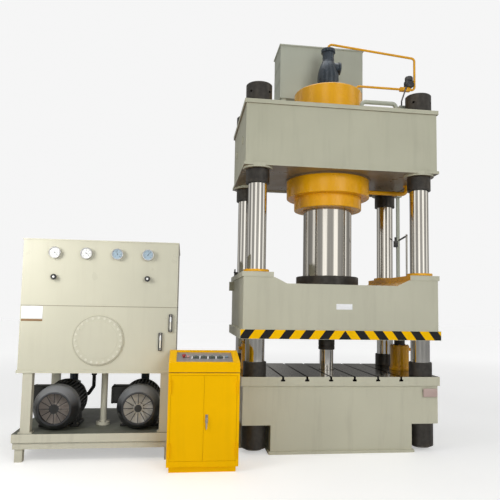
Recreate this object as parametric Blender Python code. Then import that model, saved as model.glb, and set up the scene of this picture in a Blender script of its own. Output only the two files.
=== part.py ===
"""Four-column hydraulic press with its oil power unit and its control console.

Metres, +Z up. The origin lies on the floor under the middle of the press bed, and the
operator stands on the -Y side. The slide is modelled at the bottom of its stroke.
"""
import math

import bmesh
import bpy
from mathutils import Matrix, Vector

# Clearances
SEAT_GAP = 0.0003
RUN_GAP = 0.0008
WELD = 0.00001
OVERCUT = 0.02

# Facets round a full circle
LARGE_FACETS = 28
COLUMN_FACETS = 16
SMALL_FACETS = 10
COWL_FACETS = 24
GAUGE_FACETS = 14
BUTTON_FACETS = 8
DRILL_FACETS = 6

# Table (bolster) and bed
TABLE_WIDTH = 2.10
TABLE_DEPTH = 1.28
TABLE_TOP = 0.7675
TABLE_THICKNESS = 0.092
TABLE_OVERHANG = 0.018
SLOT_COUNT = 6
SLOT_SIDE = 0.425
SLOT_NECK = 0.022
SLOT_FOOT = 0.044
SLOT_NECK_DEPTH = 0.026
SLOT_FOOT_DEPTH = 0.020
NOTCH_WIDTH = 0.289
NOTCH_DEPTH = 0.280
NOTCH_HEIGHT = 0.285
BED_FLANGE_HEIGHT = 0.028
BED_FLANGE_OVERHANG = 0.020

# Columns, their nuts and collars
COLUMN_SIDE = 0.150
COLUMN_EDGE = 0.140
COLUMN_RADIUS = 0.102
COLUMN_TOP = 3.86
COLUMN_CHAMFER = 0.014
LOWER_NUT_RADIUS = 0.125
LOWER_NUT_BOTTOM = 0.045
COLUMN_STUB = 0.018
BED_COLLAR_RADIUS = 0.120
BED_COLLAR_HEIGHT = 0.142
CROWN_COLLAR_RADIUS = 0.125
CROWN_COLLAR_HEIGHT = 0.150
COLLAR_CHAMFER = 0.006
UPPER_NUT_RADIUS = 0.140
UPPER_NUT_HEIGHT = 0.200
SPANNER_HOLE_RADIUS = 0.014
SPANNER_HOLE_DEPTH = 0.028
SPANNER_HOLES = 4

# Crown
CROWN_SIDE = 0.148
CROWN_EDGE = 0.132
CROWN_BOTTOM = 2.940
CROWN_HEIGHT = 0.703
CROWN_LIP_OVERHANG = 0.017
CROWN_TOP_LIP = 0.044
CROWN_BOTTOM_LIP = 0.030
CROWN_POCKET_BORDER = 0.045
CROWN_POCKET_DEPTH = 0.012
BOSS_RADIUS = 0.160
BOSS_HEIGHT = 0.020

# Main cylinder, ram and gland
CYLINDER_RADIUS = 0.400
CYLINDER_BORE = 0.330
CYLINDER_TOP = 4.000
CYLINDER_HEAD = 0.120
CYLINDER_EDGE = 0.012
FLANGE_RADIUS = 0.480
FLANGE_HEIGHT = 0.200
GLAND_RADIUS = 0.390
GLAND_HEIGHT = 0.140
GLAND_SPIGOT = 0.050
GLAND_LIP = 0.014
RAM_RADIUS = 0.280
PISTON_HEIGHT = 0.150
PISTON_START = 0.012
CLAMP_RING_RADIUS = 0.357
CLAMP_RING_HEIGHT = 0.110
RING_CHAMFER = 0.008

# Slide
SLIDE_BOTTOM = 1.146
SLIDE_PLATE_SIDE = 0.0275
SLIDE_PLATE_EDGE = 0.008
SLIDE_PLATE_THICKNESS = 0.097
SLIDE_SIDE = 0.145
SLIDE_EDGE = 0.132
SLIDE_RECESS_TOP = 1.715
SLIDE_EAR_TOP = 1.778
SLIDE_RECESS_MARGIN = 0.306
SLIDE_EAR_MARGIN = 0.178
EAR_CAP_THICKNESS = 0.052
EAR_CAP_OVERHANG = 0.015
EAR_CAP_STEP = 0.012
BUSH_RADIUS = 0.132
BUSH_HEIGHT = 0.024
SLIDE_LUG_HEIGHT = 0.120
SLIDE_LUG_REACH = 0.055
SLIDE_LUG_THICKNESS = 0.030
SLIDE_LUG_Y = 0.430

# Prefill valve on the cylinder head
VALVE_PORT = 0.085
VALVE_SPIGOT = 0.020
VALVE_SPIGOT_FIT = 0.002
VALVE_BASE_RADIUS = 0.167
VALVE_BASE_HEIGHT = 0.022
VALVE_BODY_RADIUS = 0.128
VALVE_BODY_HEIGHT = 0.430
VALVE_FOOT_TAPER = 0.86
VALVE_SWELL_START = 0.22
VALVE_SWELL_SPAN = 0.62
VALVE_SWELL_STEPS = 6
VALVE_NECK_RADIUS = 0.070
VALVE_HEIGHT = 0.570
VALVE_CAP_RADIUS = 0.084
VALVE_CAP_HEIGHT = 0.040
VALVE_SIDE_RADIUS = 0.075
VALVE_SIDE_REACH = 0.152
VALVE_SIDE_HEIGHT = 0.345

# Prefill tank behind the valve
PREFILL_WIDTH = 1.060
PREFILL_FRONT = 0.290
PREFILL_DEPTH = 0.440
PREFILL_BOTTOM = 4.060
PREFILL_TOP = 4.750
PREFILL_LIP = 0.016
PREFILL_LIP_OVERHANG = 0.012
PREFILL_LEG = 0.060
PREFILL_LEG_INSET = 0.020
DUCT_RADIUS = 0.085
DUCT_HEIGHT = 4.190

# Pipes of the press
PILOT_RADIUS = 0.014
PILOT_START_X = 0.300
PILOT_PLANE_Y = -0.150
PILOT_LOW = 4.080
PILOT_END_OFFSET = 0.120
PILOT_HIGH = 4.470
PILOT_BEND = 0.075
PILOT_BLOCK_LENGTH = 0.130
PILOT_BLOCK_SIZE = 0.046
UNION_RADIUS = 0.026
UNION_HEIGHT = 0.030
FEED_RADIUS = 0.025
FEED_END_OFFSET = 0.075
FEED_BEND = 0.060
FEED_COLLAR = 0.038
CROWN_PIPE_RADIUS = 0.024
CROWN_PIPE_START = 0.260
CROWN_PIPE_GAP = 0.240
CROWN_PIPE_Y = -0.450
CROWN_PIPE_RISE = 0.127
CROWN_PIPE_FOOT = 0.042
FOOT_FLANGE_HEIGHT = 0.014

# Ejector in the bed
EJECTOR_STROKE = 0.350
EJECTOR_ROD_RADIUS = 0.079
EJECTOR_HEAD_RADIUS = 0.093
EJECTOR_HEAD_HEIGHT = 0.120
EJECTOR_BODY_RADIUS = 0.145
EJECTOR_BORE = 0.112
EJECTOR_BASE = 0.080
EJECTOR_WALL = 0.050
EJECTOR_GLAND = 0.028
EJECTOR_PISTON = 0.050

# Side cushions on the table
DAMPER_OFFSET = 0.020
DAMPER_RADIUS = 0.106
DAMPER_HEIGHT = 0.285
DAMPER_BASE_RADIUS = 0.118
DAMPER_BASE_HEIGHT = 0.030
DAMPER_RIB = 0.004
DAMPER_FLOOR = 0.040
PLUNGER_RADIUS = 0.062
PLUNGER_HEAD_RADIUS = 0.070
PLUNGER_HEAD_HEIGHT = 0.020
PLUNGER_GUIDE = 0.120
PLUNGER_REST_GAP = 0.006
DAMPER_PORT_RADIUS = 0.020
DAMPER_PORT_REACH = 0.030
DAMPER_PORT_HEIGHT = 0.235

# Position switch on a bar at the rear right corner, and its trip rod on the slide
SWITCH_BAR_SIDE = 0.107
SWITCH_BAR_REAR = 0.048
SWITCH_BAR_WIDTH = 0.040
SWITCH_BAR_DEPTH = 0.030
SWITCH_BRACKET_HEIGHT = 0.022
SWITCH_BRACKET_GRIP = 0.050
SWITCH_BRACKET_DROP = 0.030
SWITCH_HEIGHT = 2.330
SWITCH_BODY_HEIGHT = 0.084
SWITCH_BODY_WIDTH = 0.046
SWITCH_BODY_DEPTH = 0.040
SWITCH_BODY_OVERLAP = 0.010
SWITCH_ARM_HEIGHT = 0.050
SWITCH_ARM_SIZE = 0.018
TRIP_ROD_RADIUS = 0.012
TRIP_ROD_SIDE = 0.059
TRIP_ROD_Y = 0.290
TRIP_ROD_BOTTOM = 1.380
TRIP_ROD_TOP = 2.410
TRIP_CLAMP_HEIGHT = 0.050
TRIP_CLAMP_WIDTH = 0.050
TRIP_CLAMPS = (1.440, 1.700)
TRIP_ARM_LENGTH = 0.240
TRIP_ARM_DROP = 0.030
TRIP_ARM_THICKNESS = 0.016

# Oil tank and the valve enclosure on it
TANK_LEFT = -3.167
TANK_WIDTH = 1.460
TANK_FRONT = -0.735
TANK_DEPTH = 1.200
TANK_BOTTOM = 0.814
TANK_SEAM = 1.447
TANK_TOP = 2.083
TANK_LIP_HEIGHT = 0.028
TANK_LIP_OVERHANG = 0.010
ENCLOSURE_LIP = 0.012

# Fittings on the tank front
MANHOLE_INSET = 0.724
MANHOLE_LIFT = 0.311
MANHOLE_RADIUS = 0.240
MANHOLE_THICKNESS = 0.014
GAUGE_INSET = 0.295
GAUGE_PITCH = 0.291
GAUGE_COUNT = 4
GAUGE_DROP = 0.131
GAUGE_RADIUS = 0.055
GAUGE_DEPTH = 0.044
GAUGE_RIM = 0.008
GAUGE_DIAL_DEPTH = 0.007
KNOB_DROP = 0.363
KNOB_RADIUS = 0.028
KNOB_DEPTH = 0.026
KNOB_STEM = 0.009
KNOB_STEM_LENGTH = 0.022
KNOB_FLUTES = 8
KNOB_FLUTE_DEPTH = 0.06
LEVEL_WIDTH = 0.034
LEVEL_LENGTH = 0.172
LEVEL_DEPTH = 0.022
LEVEL_INSETS = (("upper", 0.058, 0.482), ("lower", 0.151, 0.302))

# Stand under the tank
STAND_OVERHANG = 0.018
FOOT_HEIGHT = 0.120
FOOT_SIZE = 0.070
FOOT_INSET = 0.030
FEET_PER_SIDE = 2
LOWER_RAIL = 0.060
UPPER_RAIL = 0.068
RAIL_WIDTH = 0.080
RAIL_GROOVE = 0.012
DECK_THICKNESS = 0.010
POST_SIZE = 0.086
POST_INSET = 0.052
POST_FOOT = 0.012
POST_FOOT_MARGIN = 0.018

# Motors, fans and pumps
MOTOR_X = (("left", -2.830), ("right", -2.050))
MOTOR_FRONT = -0.695
MOTOR_AXIS_HEIGHT = 0.216
MOTOR_LENGTH = 0.640
COWL_RADIUS = 0.212
COWL_LENGTH = 0.190
COWL_WALL = 0.008
COWL_SLOPE = 0.075
COWL_FACE = 0.155
GRILLE_RADIUS = 0.142
GRILLE_HUB = 0.036
GRILLE_SPOKES = 12
GRILLE_SPOKE_WIDTH = 0.010
FIN_RADIUS = 0.203
FIN_ROOT = 0.180
FIN_COUNT = 18
FIN_SHARE = 0.42
FIN_ROOT_SPREAD = 1.3
FIN_START = 0.060
BELL_CHAMFER = 0.012
BODY_END = 0.455
END_BELL_RADIUS = 0.206
MOTOR_FOOT_SPAN = 0.190
MOTOR_FOOT_WIDTH = 0.080
MOTOR_FOOT_LENGTH = 0.300
MOTOR_FOOT_START = 0.110
MOTOR_FOOT_HEIGHT = 0.024
MOTOR_WEB = 0.030
TERMINAL_HEIGHT = 0.170
TERMINAL_LOW = -0.002
TERMINAL_LENGTH = 0.190
TERMINAL_REACH = 0.292
TERMINAL_START = 0.180
SHAFT_RADIUS = 0.020
SHAFT_DEPTH = 0.030
SHAFT_FIT = 0.001
FAN_HUB_RADIUS = 0.045
FAN_RADIUS = 0.160
FAN_START = 0.485
FAN_DEPTH = 0.075
FAN_BLADES = 9
FAN_BLADE = 0.006
FAN_DISC = 0.006
BELL_RADIUS = 0.160
BELL_LENGTH = 0.170
BELL_FLANGE = 0.022
BELL_NECK = 0.092
PUMP_RADIUS = 0.118
PUMP_LENGTH = 0.210
PUMP_CAP_RADIUS = 0.080
PUMP_CAP_LENGTH = 0.040
SUCTION_RADIUS = 0.045
SUCTION_FLANGE = 0.075
SUCTION_FROM_BELL = 0.100
DRAIN_X = -2.418
DRAIN_Y = -0.360
DRAIN_RADIUS = 0.032
DRAIN_FLANGE = 0.068
DRAIN_FLANGE_HEIGHT = 0.022

# Control console
CONSOLE_OVERLAP = 0.052
CONSOLE_WIDTH = 0.640
CONSOLE_FRONT = -1.155
CONSOLE_DEPTH = 0.385
CONSOLE_PLINTH = 0.048
CONSOLE_PLINTH_INSET = 0.022
CONSOLE_SHOULDER = 0.8765
CONSOLE_FASCIA_TOP = 0.963
CONSOLE_REAR_TOP = 1.042
CONSOLE_REAR_FLAT = 0.036
CONSOLE_FASCIA_STEP = 0.006
CONSOLE_WALL = 0.012
CONSOLE_FRAME = 0.022
DOOR_SIDE_MARGIN = 0.024
DOOR_BOTTOM = 0.098
DOOR_TOP = 0.847
DOOR_THICKNESS = 0.018
DOOR_SKIN = 0.004
DOOR_RIM = 0.014
DOOR_GAP = 0.002
HINGE_RADIUS = 0.006
HINGE_STANDOFF = 0.0075
HINGE_LENGTH = 0.060
HINGE_LEAF = 0.003
HINGE_REACH = 0.020
HINGE_INSET = 0.100
HANDLE_X_MARGIN = 0.026
HANDLE_HEIGHT = 0.468
HANDLE_PLATE_WIDTH = 0.026
HANDLE_PLATE_HEIGHT = 0.076
HANDLE_PLATE_DEPTH = 0.006
HANDLE_SPINDLE = 0.007
HANDLE_ROSE = 0.012
HANDLE_STANDOFF = 0.014
HANDLE_LENGTH = 0.092
HANDLE_WIDTH = 0.014
HANDLE_THICKNESS = 0.010

# Control panel on the sloped desk
PANEL_LEFT_MARGIN = 0.066
PANEL_RIGHT_MARGIN = 0.060
PANEL_FRONT_MARGIN = 0.022
PANEL_REAR_MARGIN = 0.026
PANEL_RECESS = 0.012
PANEL_THICKNESS = 0.004
PANEL_LEDGE = 0.010
PANEL_WELL = 0.034
BUTTON_STEM = 0.009
BUTTON_STEM_LENGTH = 0.014
BUTTON_CAP = 0.014
BUTTON_CAP_HEIGHT = 0.012
BUTTON_TRAVEL = 0.005
BUTTON_PLACES = (0.104, 0.178, 0.251, 0.327, 0.403, 0.463)
STOP_PLACE = 0.066
STOP_RADIUS = 0.019
STOP_HEIGHT = 0.026

# Heights and places that follow from the sizes above
TABLE_BOTTOM = TABLE_TOP - TABLE_THICKNESS
BED_WIDTH = TABLE_WIDTH - 2 * TABLE_OVERHANG
BED_DEPTH = TABLE_DEPTH - 2 * TABLE_OVERHANG
SLOT_PITCH = (TABLE_WIDTH - 2 * SLOT_SIDE) / (SLOT_COUNT - 1)
COLUMN_X = TABLE_WIDTH / 2 - COLUMN_SIDE
COLUMN_Y = TABLE_DEPTH / 2 - COLUMN_EDGE
CROWN_WIDTH = 2 * (COLUMN_X + CROWN_SIDE)
CROWN_DEPTH = 2 * (COLUMN_Y + CROWN_EDGE)
SLIDE_WIDTH = 2 * (COLUMN_X + SLIDE_SIDE)
SLIDE_DEPTH = 2 * (COLUMN_Y + SLIDE_EDGE)
SLIDE_PLATE_WIDTH = SLIDE_WIDTH + 2 * SLIDE_PLATE_SIDE
SLIDE_PLATE_DEPTH = SLIDE_DEPTH + 2 * SLIDE_PLATE_EDGE
SLIDE_RECESS_HALF = COLUMN_X - SLIDE_RECESS_MARGIN
SLIDE_EAR_INNER = COLUMN_X - SLIDE_EAR_MARGIN
PILOT_END_X = COLUMN_X + PILOT_END_OFFSET
FEED_END_X = COLUMN_X + FEED_END_OFFSET
CROWN_PIPE_END = COLUMN_X - CROWN_PIPE_GAP
DAMPER_X = COLUMN_X - DAMPER_OFFSET
SWITCH_BAR_X = CROWN_WIDTH / 2 + SWITCH_BAR_SIDE
SWITCH_BAR_Y = CROWN_DEPTH / 2 + SWITCH_BAR_REAR
TRIP_ROD_X = SLIDE_WIDTH / 2 + TRIP_ROD_SIDE
CROWN_TOP = CROWN_BOTTOM + CROWN_HEIGHT
CROWN_COLLAR_TOP = CROWN_BOTTOM - BOSS_HEIGHT - SEAT_GAP
FLANGE_BOTTOM = CROWN_BOTTOM - SEAT_GAP - FLANGE_HEIGHT
CYLINDER_BORE_TOP = CYLINDER_TOP - CYLINDER_HEAD
SLIDE_BODY_BOTTOM = SLIDE_BOTTOM + SLIDE_PLATE_THICKNESS
EAR_CAP_TOP = SLIDE_EAR_TOP + EAR_CAP_THICKNESS
VALVE_TOP = CYLINDER_TOP + VALVE_HEIGHT
FEED_HEIGHT = FLANGE_BOTTOM + FLANGE_HEIGHT * 0.55
TANK_RIGHT = TANK_LEFT + TANK_WIDTH
TANK_REAR = TANK_FRONT + TANK_DEPTH
MANHOLE_X = TANK_LEFT + MANHOLE_INSET
MANHOLE_HEIGHT = TANK_BOTTOM + MANHOLE_LIFT
GAUGE_FIRST_X = TANK_LEFT + GAUGE_INSET
GAUGE_HEIGHT = TANK_TOP - GAUGE_DROP
KNOB_HEIGHT = TANK_TOP - KNOB_DROP
STAND_FRONT = TANK_FRONT - STAND_OVERHANG
STAND_REAR = TANK_REAR + STAND_OVERHANG
STAND_LEFT = TANK_LEFT - STAND_OVERHANG
STAND_RIGHT = TANK_RIGHT + STAND_OVERHANG
DECK_BOTTOM = FOOT_HEIGHT + LOWER_RAIL + UPPER_RAIL
DECK_TOP = DECK_BOTTOM + DECK_THICKNESS
MOTOR_AXIS = DECK_TOP + MOTOR_AXIS_HEIGHT
MOTOR_REAR = MOTOR_FRONT + MOTOR_LENGTH
CONSOLE_LEFT = TANK_RIGHT - CONSOLE_OVERLAP
CONSOLE_RIGHT = CONSOLE_LEFT + CONSOLE_WIDTH
CONSOLE_REAR = CONSOLE_FRONT + CONSOLE_DEPTH
DESK_RUN = CONSOLE_DEPTH - CONSOLE_REAR_FLAT
DESK_ANGLE = math.atan2(CONSOLE_REAR_TOP - CONSOLE_FASCIA_TOP, DESK_RUN)
DESK_LENGTH = math.hypot(CONSOLE_REAR_TOP - CONSOLE_FASCIA_TOP, DESK_RUN)
DESK_FRAME = (
    Matrix.Translation((CONSOLE_LEFT, CONSOLE_FRONT, CONSOLE_FASCIA_TOP))
    @ Matrix.Rotation(DESK_ANGLE, 4, "X")
)

# Paints and metals: colour, roughness, metallic
LOOKS = {
    "grey_cream_paint": ((0.62, 0.62, 0.50), 0.45, 0.0),
    "cream_paint": ((0.80, 0.78, 0.64), 0.42, 0.0),
    "tank_paint": ((0.84, 0.82, 0.70), 0.42, 0.0),
    "machined_steel": ((0.60, 0.60, 0.60), 0.25, 1.0),
    "chrome": ((0.80, 0.80, 0.82), 0.10, 1.0),
    "black_steel": ((0.03, 0.03, 0.03), 0.55, 0.6),
    "amber_paint": ((0.72, 0.34, 0.02), 0.38, 0.0),
    "valve_paint": ((0.08, 0.10, 0.12), 0.45, 0.3),
    "motor_paint": ((0.05, 0.055, 0.05), 0.55, 0.2),
    "console_paint": ((0.84, 0.50, 0.01), 0.40, 0.0),
    "panel_grey": ((0.45, 0.44, 0.45), 0.40, 0.4),
    "red_plastic": ((0.55, 0.03, 0.02), 0.35, 0.0),
    "green_plastic": ((0.05, 0.22, 0.12), 0.35, 0.0),
    "dark_plastic": ((0.03, 0.03, 0.035), 0.40, 0.0),
}


# Building blocks

def clear_scene():
    """Removes whatever the scene holds, so that the script can be run again."""
    for item in list(bpy.data.objects):
        bpy.data.objects.remove(item)


def loose(bm):
    """Turns a finished bmesh into an object that can still be cut, joined and named."""
    bmesh.ops.recalc_face_normals(bm, faces=bm.faces)
    mesh = bpy.data.meshes.new("solid")
    bm.to_mesh(mesh)
    bm.free()
    obj = bpy.data.objects.new("solid", mesh)
    bpy.context.collection.objects.link(obj)
    return obj


def prism(outline, low, high, axis="Z"):
    """Extrudes an outline along an axis. It is (x, y) for Z, (x, z) for Y and (y, z) for X."""
    orders = {"X": (2, 0, 1), "Y": (0, 2, 1), "Z": (0, 1, 2)}
    order = orders[axis]

    def place(u, v, w):
        values = (u, v, w)
        return Vector([values[i] for i in order])

    bm = bmesh.new()
    face = bm.faces.new([bm.verts.new(place(u, v, low)) for u, v in outline])
    grown = bmesh.ops.extrude_face_region(bm, geom=[face])
    moved = [item for item in grown["geom"] if isinstance(item, bmesh.types.BMVert)]
    bmesh.ops.translate(bm, verts=moved, vec=place(0, 0, high - low))
    return loose(bm)


def box(x0, x1, y0, y1, z0, z1):
    """A plain block between two corners."""
    return prism([(x0, y0), (x1, y0), (x1, y1), (x0, y1)], z0, z1)


def turned(profile, facets, centre=(0.0, 0.0, 0.0), pose=None):
    """Spins a closed (radius, height) profile about its own axis, then places it."""
    bm = bmesh.new()
    verts = [bm.verts.new((radius, 0.0, height)) for radius, height in profile]
    for first, second in zip(verts, verts[1:] + verts[:1]):
        if max(first.co.x, second.co.x) > WELD:
            bm.edges.new((first, second))
    bmesh.ops.spin(
        bm, geom=bm.verts[:] + bm.edges[:], cent=(0, 0, 0), axis=(0, 0, 1),
        angle=math.tau, steps=facets, use_merge=True, use_duplicate=False,
    )
    bmesh.ops.remove_doubles(bm, verts=bm.verts, dist=WELD)
    matrix = Matrix.Translation(centre)
    if pose is not None:
        matrix = matrix @ pose
    bmesh.ops.transform(bm, matrix=matrix, verts=bm.verts)
    return loose(bm)


def disc(radius, low, high, facets, x=0.0, y=0.0):
    """A plain upright cylinder."""
    return turned([(0, low), (radius, low), (radius, high), (0, high)], facets, (x, y, 0))


def combine(base, others, operation):
    """Applies one exact Boolean for each of the other solids, which are used up."""
    for other in others:
        step = base.modifiers.new(operation.lower(), "BOOLEAN")
        step.operation = operation
        step.solver = "EXACT"
        step.object = other
    bpy.context.view_layer.update()
    graph = bpy.context.evaluated_depsgraph_get()
    mesh = bpy.data.meshes.new_from_object(base.evaluated_get(graph))
    base.modifiers.clear()
    base.data = mesh
    for other in others:
        bpy.data.objects.remove(other)
    return base


def cut(base, *tools):
    """Takes the tools' volume out of the base."""
    return combine(base, tools, "DIFFERENCE")


def join(base, *pieces):
    """Welds the pieces to the base."""
    return combine(base, pieces, "UNION")


def shift(obj, matrix):
    """Moves a loose solid's mesh, so that its object stays at the origin."""
    obj.data.transform(matrix)
    return obj


def name_part(obj, name, look, pivot=(0.0, 0.0, 0.0)):
    """Names a solid, gives it its own paint and puts its origin on its joint's axis."""
    obj.name = name
    obj.data.name = name
    obj.data.transform(Matrix.Translation(-Vector(pivot)))
    obj.location = pivot
    colour, roughness, metallic = LOOKS[look]
    paint = bpy.data.materials.new(name + "_" + look)
    paint.use_nodes = True
    shader = paint.node_tree.nodes["Principled BSDF"]
    shader.inputs["Base Color"].default_value = (*colour, 1.0)
    shader.inputs["Roughness"].default_value = roughness
    shader.inputs["Metallic"].default_value = metallic
    obj.data.materials.clear()
    obj.data.materials.append(paint)
    obj.data.shade_smooth()
    obj.data.set_sharp_from_angle(angle=math.radians(32))
    return obj


def rounded_route(corners, radius, steps=4):
    """A polyline through the corners, with an arc of the radius at each inner corner."""
    corners = [Vector(point) for point in corners]
    route = [corners[0]]
    for before, corner, after in zip(corners, corners[1:], corners[2:]):
        inward = (before - corner).normalized()
        outward = (after - corner).normalized()
        half = inward.angle(outward) / 2
        reach = radius / math.tan(half)
        centre = corner + (inward + outward).normalized() * (radius / math.sin(half))
        start = corner + inward * reach - centre
        end = corner + outward * reach - centre
        turn = start.angle(end)
        axis = start.cross(end).normalized()
        for i in range(steps + 1):
            route.append(centre + Matrix.Rotation(turn * i / steps, 3, axis) @ start)
    route.append(corners[-1])
    return route


def pipe(corners, radius, bend, resolution=2):
    """A round pipe with filled ends, swept along a route with rounded corners."""
    route = rounded_route(corners, bend)
    curve = bpy.data.curves.new("pipe", "CURVE")
    curve.dimensions = "3D"
    curve.bevel_depth = radius
    curve.bevel_resolution = resolution
    curve.use_fill_caps = True
    spline = curve.splines.new("POLY")
    spline.points.add(len(route) - 1)
    for point, place in zip(spline.points, route):
        point.co = (*place, 1.0)
    sweep = bpy.data.objects.new("pipe", curve)
    bpy.context.collection.objects.link(sweep)
    bpy.context.view_layer.update()
    graph = bpy.context.evaluated_depsgraph_get()
    mesh = bpy.data.meshes.new_from_object(sweep.evaluated_get(graph))
    bpy.data.objects.remove(sweep)
    bm = bmesh.new()
    bm.from_mesh(mesh)
    bmesh.ops.remove_doubles(bm, verts=bm.verts, dist=WELD)
    return loose(bm)


def column_places():
    """Side name and centre of each of the four columns."""
    for depth_name, y in (("front", -COLUMN_Y), ("rear", COLUMN_Y)):
        for side_name, x in (("left", -COLUMN_X), ("right", COLUMN_X)):
            yield f"{depth_name}_{side_name}", x, y


def column_bores(radius, low, high):
    """One cutter for each column, with the columns' own facets."""
    return [disc(radius, low, high, COLUMN_FACETS, x, y) for _, x, y in column_places()]


# Press frame

def cross_outline(margin):
    """Footprint of the bed between its corner notches, grown by a margin."""
    half_x = BED_WIDTH / 2 + margin
    half_y = BED_DEPTH / 2 + margin
    inner_x = BED_WIDTH / 2 - NOTCH_WIDTH + margin
    inner_y = BED_DEPTH / 2 - NOTCH_DEPTH + margin
    corner = [(half_x, inner_y), (inner_x, inner_y), (inner_x, half_y)]
    right_rear = corner
    left_rear = [(-x, y) for x, y in reversed(corner)]
    left_front = [(-x, -y) for x, y in corner]
    right_front = [(x, -y) for x, y in reversed(corner)]
    return right_rear + left_rear + left_front + right_front


def make_bed():
    """Welded bed, notched at its corners for the lower column nuts."""
    half_x, half_y = BED_WIDTH / 2, BED_DEPTH / 2
    top = TABLE_BOTTOM - SEAT_GAP
    bed = box(-half_x, half_x, -half_y, half_y, NOTCH_HEIGHT, top)
    legs = prism(cross_outline(0.0), 0.0, NOTCH_HEIGHT + OVERCUT)
    flange = prism(cross_outline(BED_FLANGE_OVERHANG), 0.0, BED_FLANGE_HEIGHT)
    join(bed, legs, flange)
    well = disc(EJECTOR_BODY_RADIUS + SEAT_GAP, EJECTOR_BASE, top + OVERCUT, LARGE_FACETS)
    bores = column_bores(COLUMN_RADIUS + SEAT_GAP, NOTCH_HEIGHT - OVERCUT, top + OVERCUT)
    cut(bed, well, *bores)
    name_part(bed, "bed", "cream_paint")


def make_bolster():
    """Table plate with its T-slots, drawn as one section and extruded from front to back."""
    half = TABLE_WIDTH / 2
    neck_floor = TABLE_TOP - SLOT_NECK_DEPTH
    foot_floor = neck_floor - SLOT_FOOT_DEPTH
    outline = [(half, TABLE_TOP), (half, TABLE_BOTTOM), (-half, TABLE_BOTTOM), (-half, TABLE_TOP)]
    for i in range(SLOT_COUNT):
        x = (i - (SLOT_COUNT - 1) / 2) * SLOT_PITCH
        neck, foot = SLOT_NECK / 2, SLOT_FOOT / 2
        outline += [
            (x - neck, TABLE_TOP), (x - neck, neck_floor), (x - foot, neck_floor), (x - foot, foot_floor),
            (x + foot, foot_floor), (x + foot, neck_floor), (x + neck, neck_floor), (x + neck, TABLE_TOP),
        ]
    bolster = prism(outline, -TABLE_DEPTH / 2, TABLE_DEPTH / 2, "Y")
    low, high = TABLE_BOTTOM - OVERCUT, TABLE_TOP + OVERCUT
    hole = disc(EJECTOR_HEAD_RADIUS + RUN_GAP, low, high, LARGE_FACETS)
    cut(bolster, hole, *column_bores(COLUMN_RADIUS + SEAT_GAP, low, high))
    name_part(bolster, "bolster", "machined_steel")


def make_columns():
    """Four columns, each with its lower nut and its bed and crown collars as one turned piece."""
    nut_top = NOTCH_HEIGHT - SEAT_GAP
    bed_collar = TABLE_TOP + SEAT_GAP
    bed_collar_top = bed_collar + BED_COLLAR_HEIGHT
    crown_collar = CROWN_COLLAR_TOP - CROWN_COLLAR_HEIGHT
    profile = [
        (0, LOWER_NUT_BOTTOM - COLUMN_STUB),
        (COLUMN_RADIUS - COLUMN_CHAMFER, LOWER_NUT_BOTTOM - COLUMN_STUB),
        (COLUMN_RADIUS - COLUMN_CHAMFER, LOWER_NUT_BOTTOM),
        (LOWER_NUT_RADIUS, LOWER_NUT_BOTTOM),
        (LOWER_NUT_RADIUS, nut_top),
        (COLUMN_RADIUS, nut_top),
        (COLUMN_RADIUS, bed_collar),
        (BED_COLLAR_RADIUS, bed_collar),
        (BED_COLLAR_RADIUS, bed_collar_top - COLLAR_CHAMFER),
        (BED_COLLAR_RADIUS - COLLAR_CHAMFER, bed_collar_top),
        (COLUMN_RADIUS, bed_collar_top),
        (COLUMN_RADIUS, crown_collar),
        (CROWN_COLLAR_RADIUS, crown_collar),
        (CROWN_COLLAR_RADIUS, CROWN_COLLAR_TOP),
        (COLUMN_RADIUS, CROWN_COLLAR_TOP),
        (COLUMN_RADIUS, COLUMN_TOP - COLUMN_CHAMFER),
        (COLUMN_RADIUS - COLUMN_CHAMFER, COLUMN_TOP),
        (0, COLUMN_TOP),
    ]
    for place, x, y in column_places():
        column = turned(profile, COLUMN_FACETS, (x, y, 0))
        name_part(column, f"column_{place}", "chrome")


def make_upper_nuts():
    """Round nuts on the crown, each with radial holes for a pin spanner."""
    low = CROWN_TOP + SEAT_GAP
    high = low + UPPER_NUT_HEIGHT
    bore = COLUMN_RADIUS + SEAT_GAP
    profile = [
        (bore, low), (UPPER_NUT_RADIUS, low), (UPPER_NUT_RADIUS, high - COLLAR_CHAMFER),
        (UPPER_NUT_RADIUS - COLLAR_CHAMFER, high), (bore, high),
    ]
    for place, x, y in column_places():
        nut = turned(profile, COLUMN_FACETS, (x, y, 0))
        holes = []
        for i in range(SPANNER_HOLES):
            angle = math.tau * (i + 0.5) / SPANNER_HOLES
            swing = Matrix.Rotation(angle, 4, "Z") @ Matrix.Rotation(math.radians(90), 4, "Y")
            floor, mouth = UPPER_NUT_RADIUS - SPANNER_HOLE_DEPTH, UPPER_NUT_RADIUS + OVERCUT
            drill = [(0, floor), (SPANNER_HOLE_RADIUS, floor), (SPANNER_HOLE_RADIUS, mouth), (0, mouth)]
            holes.append(turned(drill, DRILL_FACETS, (x, y, (low + high) / 2), swing))
        cut(nut, *holes)
        name_part(nut, f"upper_nut_{place}", "black_steel")


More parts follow.
